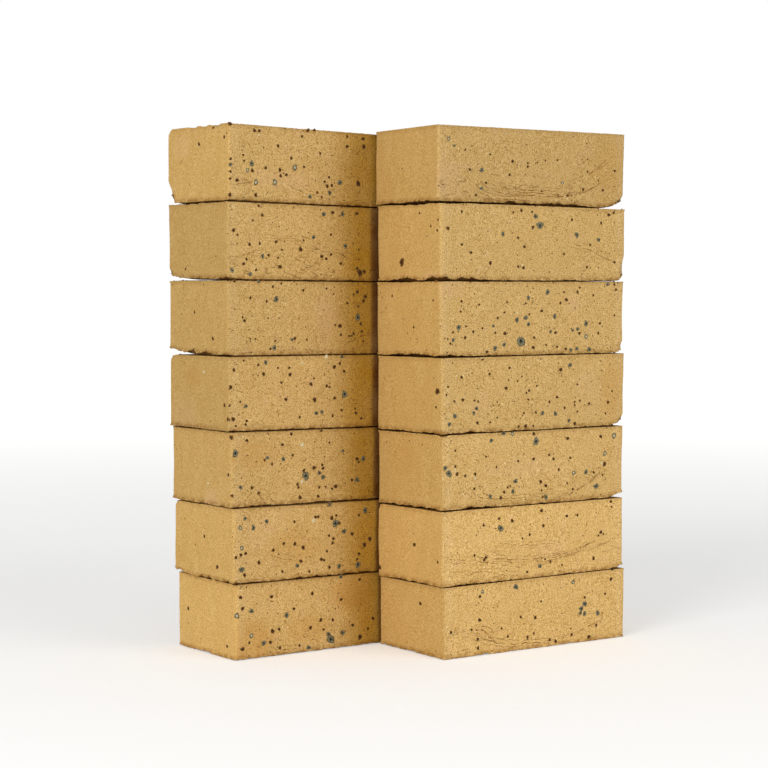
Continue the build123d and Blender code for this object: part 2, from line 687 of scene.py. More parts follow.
@dataclass
class Form:
    """A brick's form, read off its solid: a box on its own bed, whose bed may curl up."""

    origin: np.ndarray
    axes: np.ndarray
    spans: np.ndarray
    top: np.ndarray
    header_curl: np.ndarray
    back_curl: np.ndarray
    steps: np.ndarray

    @classmethod
    def measure(cls, name: str) -> "Form":
        """Finds the six faces of a brick's solid, and how its bed curls.

        Args:
            name: the brick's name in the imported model.

        Returns:
            The form, in millimetres on the brick's own axes.
        """
        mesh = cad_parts[name].data
        mesh.calc_loop_triangles()
        places = np.array([v.co for v in mesh.vertices]) / MM
        corners = np.array([t.vertices for t in mesh.loop_triangles])
        edges_a = places[corners[:, 1]] - places[corners[:, 0]]
        edges_b = places[corners[:, 2]] - places[corners[:, 0]]
        crosses = np.cross(edges_a, edges_b)
        areas = np.linalg.norm(crosses, axis=1)
        normals = crosses / np.maximum(areas, 1e-9)[:, None]
        centres = places[corners].mean(axis=1)

        def face(*direction: float) -> tuple[np.ndarray, float]:
            """Finds the largest flat face that looks one way.

            Args:
                direction: that way.

            Returns:
                The face's normal, and its distance along it.
            """
            facing = normals @ np.array(direction) > 0.95
            keys = np.round(normals, 3)
            alike = [facing & (np.abs(keys - keys[i]).max(1) < 0.003) for i in np.flatnonzero(facing)]
            same = max(alike, key=lambda triangles: areas[triangles].sum())
            normal = (normals[same] * areas[same, None]).sum(0)
            normal /= np.linalg.norm(normal)
            return normal, float((centres[same] @ normal * areas[same]).sum() / areas[same].sum())

        near, far = face(-1, 0, 0), face(1, 0, 0)
        front, back = face(0, -1, 0), face(0, 1, 0)
        bed, top = face(0, 0, -1), face(0, 0, 1)
        up = -bed[0]
        along = np.cross(back[0], up)
        along /= np.linalg.norm(along)
        axes = np.array([along, np.cross(up, along), up])
        origin = np.linalg.solve(np.array([near[0], front[0], bed[0]]), [near[1], front[1], bed[1]])
        length = far[1] - origin @ far[0]
        width = back[1] - origin @ back[0]
        lean = axes @ top[0]
        rise = (top[1] - origin @ top[0]) / lean[2]
        plane = np.array([rise, -lean[0] / lean[2], -lean[1] / lean[2]])
        local = (places - origin) @ axes.T
        tree = BVHTree.FromPolygons([Vector(p) for p in local], corners.tolist())
        steps = np.linspace(0, 1, 211)
        bevel = 1.6

        def sag(span: float, middle: float, across: bool) -> np.ndarray:
            """Finds how high the bed is along one of its middle lines.

            Args:
                span: the brick's length or width along the line.
                middle: where the line lies, from the brick's near or front edge.
                across: whether the line runs across the brick.

            Returns:
                The bed's height at each step.
            """
            heights = []
            inner = np.clip(steps, bevel / span, 1 - bevel / span)
            for share in inner:
                spot = (middle, share * span, rise / 2) if across else (share * span, middle, rise / 2)
                heights.append(tree.ray_cast(Vector(spot), Vector((0, 0, -1)))[0].z)
            profile = np.array(heights)
            slope = (profile[-4] - profile[-8]) / ((steps[-4] - steps[-8]) * span)
            beyond = np.maximum(steps - (1 - bevel / span), 0) * span
            return np.maximum(profile + beyond * slope, 0)

        spans = np.array([length, width, rise])
        curls = sag(length, width / 2, False), sag(width, length / 2, True)
        return cls(origin, axes, spans, plane, *curls, steps)

    def settle(self, points: Any) -> np.ndarray:
        """Turns points of a plain box into places on the brick.

        Args:
            points: places in the box, in millimetres, whose height runs from bed to top.

        Returns:
            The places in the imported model's frame, in metres.
        """
        x, y, z = np.asarray(points, float).T
        header = np.interp(x / self.spans[0], self.steps, self.header_curl)
        low = np.maximum(header, np.interp(y / self.spans[1], self.steps, self.back_curl))
        high = self.top[0] + self.top[1] * x + self.top[2] * y
        height = low + z / self.spans[2] * (high - low)
        return (self.origin + np.stack([x, y, height], axis=1) @ self.axes) * MM


@dataclass(frozen=True)
class Mark:
    """A place on a brick that differs: in millimetres on its own axes, and how strongly."""

    brick: str
    place: Triple
    reach: Triple
    strength: float

    def fading(self, box: np.ndarray, core: float) -> np.ndarray:
        """How strong the mark is at each point of its brick, full up to a share of its reach."""
        far = np.linalg.norm((box - np.array(self.place)) / np.array(self.reach), axis=1)
        return self.strength * smooth(far, 1.0, core)


# Where an arris or a corner has been knocked, so many millimetres deep
CHIPS = (
    Mark("left_brick_7", (0, 100, 0), (20, 14, 18), 4.5),
    Mark("left_brick_7", (0, 22, 68), (7, 10, 5), 2.4),
    Mark("left_brick_7", (0, 40, 68), (7, 8, 5), 1.6),
    Mark("left_brick_7", (0, 58, 68), (6, 9, 4), 2.0),
    Mark("left_brick_7", (0, 100, 68), (12, 8, 7), 2.2),
    Mark("left_brick_6", (0, 100, 0), (14, 8, 8), 2.0),
    Mark("right_brick_7", (210, 0, 0), (10, 10, 9), 2.5),
    Mark("right_brick_6", (210, 0, 5), (8, 12, 18), 2.2),
    Mark("right_brick_4", (210, 0, 0), (10, 10, 8), 2.0),
    Mark("right_brick_5", (210, 0, 3), (8, 12, 8), 1.8),
    Mark("right_brick_3", (0, 0, 68), (9, 9, 7), 1.8),
    Mark("right_brick_2", (0, 100, 68), (8, 10, 8), 2.0),
    Mark("left_brick_4", (0, 100, 68), (10, 12, 8), 2.4),
    Mark("left_brick_2", (0, 100, 68), (8, 10, 7), 1.8),
)

# Patches of another shade, paler above 0 and browner below
PATCHES = (
    Mark("left_brick_3", (0, 32, 0), (4, 18, 19), 0.55),
    Mark("left_brick_4", (0, 74, 12), (4, 30, 26), 0.2),
    Mark("left_brick_7", (0, 78, 50), (4, 20, 14), 0.25),
    Mark("left_brick_7", (62, 0, 20), (46, 4, 12), 0.25),
    Mark("left_brick_5", (104, 0, 34), (16, 4, 34), 0.25),
    Mark("left_brick_2", (30, 0, 44), (30, 4, 18), 0.15),
    Mark("right_brick_7", (8, 0, 22), (24, 4, 22), 0.3),
    Mark("right_brick_6", (0, 14, 0), (4, 18, 14), 0.35),
    Mark("right_brick_5", (12, 0, 60), (22, 4, 12), 0.3),
    Mark("right_brick_5", (148, 0, 46), (13, 4, 13), 0.35),
    Mark("right_brick_4", (42, 0, 24), (16, 4, 16), 0.2),
    Mark("right_brick_4", (166, 0, 30), (20, 4, 30), 0.2),
    Mark("right_brick_3", (96, 0, 34), (60, 4, 14), 0.2),
    Mark("right_brick_2", (120, 0, 24), (26, 4, 10), 0.3),
    Mark("left_brick_1", (14, 0, 14), (34, 4, 30), -0.5),
    Mark("left_brick_1", (75, 0, 22), (30, 4, 16), -0.3),
    Mark("left_brick_1", (125, 0, 50), (34, 4, 20), -0.4),
    Mark("left_brick_2", (64, 0, 30), (40, 4, 24), -0.3),
    Mark("left_brick_3", (24, 0, 46), (34, 4, 18), -0.3),
    Mark("left_brick_4", (0, 58, 46), (4, 18, 13), -0.4),
    Mark("right_brick_7", (190, 0, 34), (28, 4, 40), -0.3),
    Mark("right_brick_4", (196, 0, 34), (18, 4, 40), -0.3),
    Mark("right_brick_3", (0, 60, 44), (4, 26, 22), -0.25),
)


@dataclass
class Skin:
    """The fine mesh of one brick: a net of grid lines over a box with softened arrises.

    The inner side is 1 where the other column is behind the brick and -1 where it is in front.
    """

    brick: str
    form: Form
    open_top: bool
    inner_side: float
    arris: Triple = (1.4, 1.4, 1.0)
    step: float = 1.45
    band: int = 9
    proud: float = 0.85
    # How strongly painted shade darkens the bed faces in the joints: near the header end, on the right
    # column, on the left.
    near_joint_shade: float = 0.8
    front_joint_shade: float = 0.75
    back_joint_shade: float = 0.35

    def grid_lines(self, span: float, arris: float) -> np.ndarray:
        """Where the lines run along one edge of the brick, close together in its two rounds.

        Args:
            span: how long the edge is.
            arris: how far in its rounds reach.

        Returns:
            Each line's place along the edge.
        """
        rounds = arris * np.linspace(0, 1, 5)
        count = max(1, round((span - 2 * arris) / self.step))
        flat = np.linspace(arris, span - arris, count + 1)
        return np.concatenate([rounds[:-1], flat, span - rounds[:-1][::-1]])

    def quads(self, net: np.ndarray, turned: bool) -> list[list[int]]:
        """The cells of a net of numbered points.

        Args:
            net: the points' numbers, in rows and columns.
            turned: whether the cells run the other way round.

        Returns:
            The cells' corners.
        """
        a, b, c, d = net[:-1, :-1], net[1:, :-1], net[1:, 1:], net[:-1, 1:]
        order = (a, b, c, d) if turned else (a, d, c, b)
        return np.stack([side.ravel() for side in order], axis=1).tolist()

    def plain_bed(self, net: np.ndarray, turned: bool, by_rows: bool) -> list[list[int]]:
        """A bed that nothing shows of but its rim: fine cells round the rim, long strips within.

        Args:
            net: the points' numbers, in rows along the brick and columns across it.
            turned: whether the cells run the other way round.
            by_rows: whether the strips lie across the brick, as a bed that curls along it needs.

        Returns:
            The cells' corners.
        """
        if not by_rows:
            return self.plain_bed(net.T, not turned, True)
        k = self.band
        cells = []
        for part in (net[: k + 1], net[-k - 1 :], net[k:-k, : k + 1], net[k:-k, -k - 1 :]):
            cells.extend(self.quads(part, turned))
        inner = net[k:-k, k:-k]
        strips = [[row[0], ahead[0], ahead[-1], row[-1]] for row, ahead in zip(inner[1:-2], inner[2:-1])]
        strips.append([*inner[0][::-1], inner[1][0], inner[1][-1]])
        strips.append([inner[-2][0], *inner[-1], inner[-2][-1]])
        cells.extend([int(n) for n in (strip if turned else strip[::-1])] for strip in strips)
        return cells

    def build(self) -> bpy.types.Object:
        """Builds the mesh, with what its faces are stored on it.

        Returns:
            The skin, closed and smooth, before it is worn.
        """
        arris = np.array(self.arris)
        lines = [self.grid_lines(span, corner) for span, corner in zip(self.form.spans, arris)]
        counts = tuple(len(line) for line in lines)
        shell = np.ones(counts, bool)
        shell[1:-1, 1:-1, 1:-1] = False
        numbers = np.full(counts, -1)
        numbers[shell] = np.arange(shell.sum())
        box = np.stack([axis[shell] for axis in np.meshgrid(*lines, indexing="ij")], axis=1)
        by_rows = self.form.header_curl.max() > self.form.back_curl.max()
        cells = [
            *self.quads(numbers[0], False),
            *self.quads(numbers[-1], True),
            *self.quads(numbers[:, 0], True),
            *self.quads(numbers[:, -1], False),
            *self.plain_bed(numbers[:, :, 0], False, by_rows),
        ]
        if self.open_top:
            cells.extend(self.quads(numbers[:, :, -1], True))
        else:
            cells.extend(self.plain_bed(numbers[:, :, -1], True, True))
        used = np.zeros(len(box), bool)
        used[np.concatenate([np.array(cell) for cell in cells])] = True
        renumber = np.cumsum(used) - 1
        box = box[used]
        cells = [[int(renumber[n]) for n in cell] for cell in cells]

        core = np.clip(box, arris, self.form.spans - arris)
        lean = (box - core) / arris
        lean /= np.linalg.norm(lean, axis=1)[:, None]
        places = self.form.settle(core + lean * arris)
        name = f"{self.brick}.skin"
        mesh = bpy.data.meshes.new(name)
        mesh.from_pydata(places.tolist(), [], cells)
        mesh.polygons.foreach_set("use_smooth", [True] * len(mesh.polygons))
        store(mesh, self.features(box, lean))
        return link(name, mesh)

    def features(self, box: np.ndarray, lean: np.ndarray) -> dict[str, np.ndarray]:
        """What the wear and the finish need to know about each point.

        Args:
            box: the points' places in the plain box, in millimetres.
            lean: which way each point's surface looks, on the brick's own axes.

        Returns:
            A number for each point, under each name.
        """
        x, y, z = box.T
        span_x, span_y, span_z = self.form.spans
        bed = smooth(np.abs(lean[:, 2]), 0.5, 0.95)
        to_bed = np.minimum(z, span_z - z)
        to_end = np.minimum(x, span_x - x)
        to_side = np.minimum(y, span_y - y)
        inset = np.minimum(to_end, to_side)
        rim = smooth(inset, 8.0, 3.0)
        facing_up = lean[:, 2] > 0
        lying = np.where((lean[:, 2] > 0.5) & self.open_top, 1.0, rim)
        from_arris = np.where(bed > 0.5, 20.0, np.clip(to_end - to_side, -20.0, 20.0))
        sanded = smooth(from_arris, -1.5, 2.0)
        outer = smooth(lean[:, 1] * self.inner_side, 0.3, 0.0)
        seen = ((lean[:, 1] < -0.3) | (lean[:, 0] < -0.3)) & (bed < 0.5)
        chipped, blush = np.zeros(len(box)), np.zeros(len(box))
        for chip in CHIPS:
            if chip.brick == self.brick:
                chipped = np.maximum(chipped, chip.fading(box, 0.25))
        for patch in PATCHES:
            if patch.brick == self.brick:
                blush += patch.fading(box, 0.4)
        hidden = 0.0 if self.open_top else 1.0
        # Painted shade on the bed faces inside the joints.
        usual_joint_shade = self.front_joint_shade if self.inner_side > 0 else self.back_joint_shade
        soot = np.maximum(usual_joint_shade, self.near_joint_shade * smooth(x, 3.0, 1.0))
        return {
            "from_arris": from_arris,
            "blush": blush,
            "soot": soot * smooth(np.abs(lean[:, 2]), 0.45, 0.95) * np.where(facing_up, hidden, 1.0),
            "lift": (smooth(z, 7.0, 0.5) - 0.35 * hidden * smooth(span_z - z, 5.0, 0.5)) * rim,
            "warp": np.where(bed > 0.5, 0.12 * lying, 1 - 0.88 * bed) * smooth(to_bed + 40 * bed, 0, 3),
            "grain": (0.3 + 0.7 * sanded) * np.where(bed > 0.5, lying, 1.0),
            "nibble": smooth(to_bed, 4.5, 0.6) * rim * np.where(facing_up | (z > span_z / 2), 0.25, 1.0),
            "press": chipped * MM - self.proud * MM * (1 - bed) * outer,
            # Painted shade along the bed arrises, mostly the bottom one.
            "edge": smooth(to_bed, 5.5, 1.0) * rim * np.where(z > span_z / 2, 0.3, 1.0),
            "open": (1 - bed) + bed * np.where(facing_up & self.open_top, 1.0, 0.0),
            "wild": np.where(seen, 0.0, 1.0),
            "ledge": np.where((lean[:, 2] > 0.35) & (inset < 2.6), hidden, 0.0),
        }


class TreeInput(Enum):
    """The kinds of input that a geometry tree may have."""

    LENGTH = "NodeSocketFloat"
    COUNT = "NodeSocketInt"
    MATERIAL = "NodeSocketMaterial"
    OBJECT = "NodeSocketObject"

    @classmethod
    def of(cls, value: Any) -> "TreeInput":
        """The kind of input that takes a value.

        Args:
            value: the value.

        Returns:
            The kind.
        """
        if isinstance(value, bpy.types.ID):
            return cls.MATERIAL if isinstance(value, bpy.types.Material) else cls.OBJECT
        return cls.COUNT if isinstance(value, int) else cls.LENGTH


def lengths(settings: Any, *names: str) -> dict[str, float]:
    """Some of a class's sizes in metres, under the names that a tree's inputs have."""
    return {name.replace("_", " ").title(): getattr(settings, name) * MM for name in names}


class GeometryTree:
    """A Geometry Nodes tree with named inputs, that is applied and then taken off again."""

    def __init__(self, name: str, values: dict[str, Any]) -> None:
        """Makes the tree's sockets.

        Args:
            name: the tree's name.
            values: a value for each named input, which says what kind it is.
        """
        self.values = values
        self.tree = bpy.data.node_groups.new(name, "GeometryNodeTree")
        self.tree.interface.new_socket("Geometry", in_out="INPUT", socket_type="NodeSocketGeometry")
        for label, value in values.items():
            kind = TreeInput.of(value)
            self.tree.interface.new_socket(label, in_out="INPUT", socket_type=kind.value)
        self.tree.interface.new_socket("Geometry", in_out="OUTPUT", socket_type="NodeSocketGeometry")
        self.graph = Graph(self.tree)
        self.inputs = self.graph.add("NodeGroupInput").outputs
        self.skin, self.seed = self.inputs["Geometry"], self.inputs["Seed"]
        self.place = self.graph.add("GeometryNodeInputPosition").outputs[0]

    def noise(self, size: Any, *choices: float) -> Socket:
        """Soft noise in space, for the tree's seed and with the graph's choices."""
        return self.graph.noise(self.place, size, *choices, seed=self.seed)

    def end(self, geometry: Socket, material: Socket) -> None:
        """Ends the tree: its instances are made real and given a material.

        Args:
            geometry: what the tree has made.
            material: the input that holds the material.
        """
        real = self.graph.add("GeometryNodeRealizeInstances", Geometry=geometry).outputs[0]
        dressed = self.graph.add("GeometryNodeSetMaterial", Geometry=real, Material=material)
        self.graph.add("NodeGroupOutput", Geometry=dressed.outputs[0])

    def apply(self, piece: bpy.types.Object, **changes: Any) -> None:
        """Runs the tree on a piece and keeps the result as a plain mesh.

        Args:
            piece: the object that the tree starts from.
            changes: other values than the tree's own, for some of its inputs.
        """
        modifier = piece.modifiers.new(self.tree.name, "NODES")
        modifier.node_group = self.tree
        values = self.values | changes
        for item in self.tree.interface.items_tree:
            if item.item_type == "SOCKET" and item.in_out == "INPUT" and item.name in values:
                modifier[item.identifier] = values[item.name]
        depsgraph = bpy.context.evaluated_depsgraph_get()
        mesh = bpy.data.meshes.new_from_object(piece.evaluated_get(depsgraph))
        piece.modifiers.remove(modifier)
        spare, piece.data = piece.data, mesh
        bpy.data.meshes.remove(spare)
        mesh.name = piece.name


@dataclass
class Wear:
    """How the kiln and the mould have worn the bricks' faces; it only ever takes clay away."""

    clay: bpy.types.Material
    warp_depth: float = 1.5
    warp_size: float = 70.0
    grain_depth: float = 0.35
    grain_size: float = 3.4
    pock_depth: float = 0.7
    pock_spacing: float = 9.0
    nibble_depth: float = 1.9
    nibble_size: float = 6.5
    lift_depth: float = 3.2
    lift_size: float = 9.0
    cluster_size: float = 34.0
    seed: int = 11
    tree: GeometryTree = field(init=False)

    def __post_init__(self) -> None:
        """Builds the tree."""
        values = lengths(self, "warp_depth", "warp_size", "grain_depth", "grain_size", "pock_depth")
        values |= lengths(self, "pock_spacing", "nibble_depth", "nibble_size", "lift_depth", "lift_size")
        self.tree = tree = GeometryTree("wear", values | {"Seed": self.seed, "Clay": self.clay})
        g, given = tree.graph, tree.inputs
        warp = g.step(tree.noise(given["Warp Size"], 2, 0.5), 0.3, 0.7)
        grain = g.step(tree.noise(given["Grain Size"], 3, 0.65), 0.3, 0.7)
        near, dice = g.cells(tree.place, given["Pock Spacing"], tree.seed)
        pock = g.product(g.step(near, 0.26, 0.08), g.step(dice, 0.5, 0.8))
        clusters = g.step(tree.noise(self.cluster_size * MM, 3, 0.6), 0.42, 0.6, 0.15, 1.0)
        nibble = g.product(g.step(tree.noise(given["Nibble Size"], 4, 0.7), 0.47, 0.7), clusters)
        taken = g.total(
            g.product(warp, given["Warp Depth"], g.stored("warp")),
            g.product(grain, given["Grain Depth"], g.stored("grain")),
            g.product(pock, given["Pock Depth"], g.stored("grain")),
            g.product(nibble, given["Nibble Depth"], g.stored("nibble")),
            g.stored("press"),
        )
        normal = g.add("GeometryNodeInputNormal").outputs[0]
        inward = g.vector("SCALE", normal, Scale=g.product(taken, -1.0))
        ragged = g.noise(tree.place, given["Lift Size"], 4, 0.65, g.total(tree.seed, 0.5))
        frayed = g.step(ragged, 0.44, 0.7, 0.3, 1.0)
        lift = g.product(frayed, clusters, given["Lift Depth"], g.stored("lift"), g.stored("fray"))
        raised = g.add("ShaderNodeCombineXYZ", Z=lift).outputs[0]
        offset = g.vector("ADD", inward, Vector_001=raised)
        tree.end(g.moved(tree.skin, Offset=offset), given["Clay"])


@dataclass(frozen=True)
class Look:
    """How one brick looks next to the others; its tones are partly its own and partly painted light."""

    header_tone_and_shade: float
    stretcher_tone_and_shade: float
    speckle: float
    drag: float
    header_fray: float
    stretcher_fray: float


# The bricks of both columns, from the floor up. Their tones are partly painted light: lighter near the
# floor, and set apart for header and stretcher
LOOKS = {
    Column.RIGHT: (
        Look(1.13, 1.19, 0.6, 0.8, 0.3, 0.3),
        Look(1.17, 1.21, 0.5, 0.7, 0.5, 0.1),
        Look(1.07, 1.08, 1.0, 0.5, 1.2, 0.3),
        Look(1.06, 1.01, 1.5, 0.2, 0.8, 0.3),
        Look(1.08, 1.0, 2.8, 0.2, 1.1, 0.3),
        Look(1.09, 0.98, 0.9, 0.3, 2.0, 0.2),
        Look(1.02, 0.89, 0.5, 1.0, 0.7, 1.1),
    ),
    Column.LEFT: (
        Look(1.28, 1.07, 1.3, 0.6, 0.6, 0.3),
        Look(1.16, 1.03, 1.0, 0.4, 2.0, 0.7),
        Look(1.05, 0.98, 1.2, 0.5, 1.0, 0.5),
        Look(0.96, 0.99, 1.5, 0.4, 0.2, 0.1),
        Look(0.98, 0.94, 1.6, 0.8, 1.7, 0.1),
        Look(0.94, 0.97, 1.7, 1.0, 1.7, 0.1),
        Look(1.07, 0.97, 1.4, 0.8, 0.3, 0.1),
    ),
}


@dataclass
class Brick:
    """One brick of a column, in a course counted from the floor."""

    column: Column
    course: int
    topmost: bool

    def build(self, wear: Wear) -> bpy.types.Object:
        """Makes the brick's skin, wears it and lets it stand for the solid.

        Args:
            wear: how the bricks are worn.

        Returns:
            The finished piece.
        """
        name = f"{self.column.value}_brick_{self.course}"
        form = Form.measure(name)
        right = self.column is Column.RIGHT
        skin = Skin(name, form, self.topmost, 1.0 if right else -1.0).build()
        self.shade(skin, form)
        wear.tree.apply(skin, Seed=wear.seed + self.course + (0 if right else 10))
        set_down(skin)
        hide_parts(name)
        return skin

    def shade(self, skin: bpy.types.Object, form: Form) -> None:
        """Stores the brick's own look, its tones partly painted light, and painted shade where the columns
        meet.

        Args:
            skin: the brick's skin, before it is worn.
            form: the brick's form.
        """
        look = LOOKS[self.column][self.course - 1]
        places = np.array([v.co for v in skin.data.vertices]) / MM
        x, y, z = form.axes @ (places - form.origin).T
        # Painted shade on the left column's stretchers, near the corner where the columns meet.
        if self.column is Column.RIGHT:
            near = smooth(x, 70.0, 15.0)
            scorch = np.zeros_like(x)
        else:
            near = smooth(x, 8.0, 1.0)
            scorch = np.maximum(0.8 * smooth(x, 102.0, 146.0), smooth(x, 141.0, 158.0))
            scorch *= smooth(y, 12.0, 3.0) * (0.8 if self.topmost else 1.0)
        values = {
            "scorch": scorch,
            "fray": look.stretcher_fray + (look.header_fray - look.stretcher_fray) * near,
            "drag": look.drag * smooth(z, 46.0, 14.0) * smooth(z, 0.5, 4.0),
            # Tone: the brick's own shade and painted light, set apart for header and stretcher.
            "tone": look.header_tone_and_shade + (look.stretcher_tone_and_shade - look.header_tone_and_shade) * smooth(x, 0.0, 6.0),
            "speckle": np.full_like(x, look.speckle),
        }
        store(skin.data, values)


class Face(Enum):
    """The two faces of a brick that the larger spots are listed on."""

    STRETCHER = "front"
    HEADER = "near"


class Kind(Enum):
    """What a spot looks like: how slate-grey it is, and how far its pale eye reaches."""

    PITS = (0.0, 0.0)
    SLATES = (1.0, 0.0)
    EYED = (1.0, 1.0)
    PEBBLES = (0.0, 2.0)


@dataclass(frozen=True)
class Spotting:
    """The larger spots of one face: each one's place from the near arris and the bed, and its width."""

    brick: str
    face: Face
    pits: tuple[Triple, ...] = ()
    slates: tuple[Triple, ...] = ()
    eyed: tuple[Triple, ...] = ()
    pebbles: tuple[Triple, ...] = ()


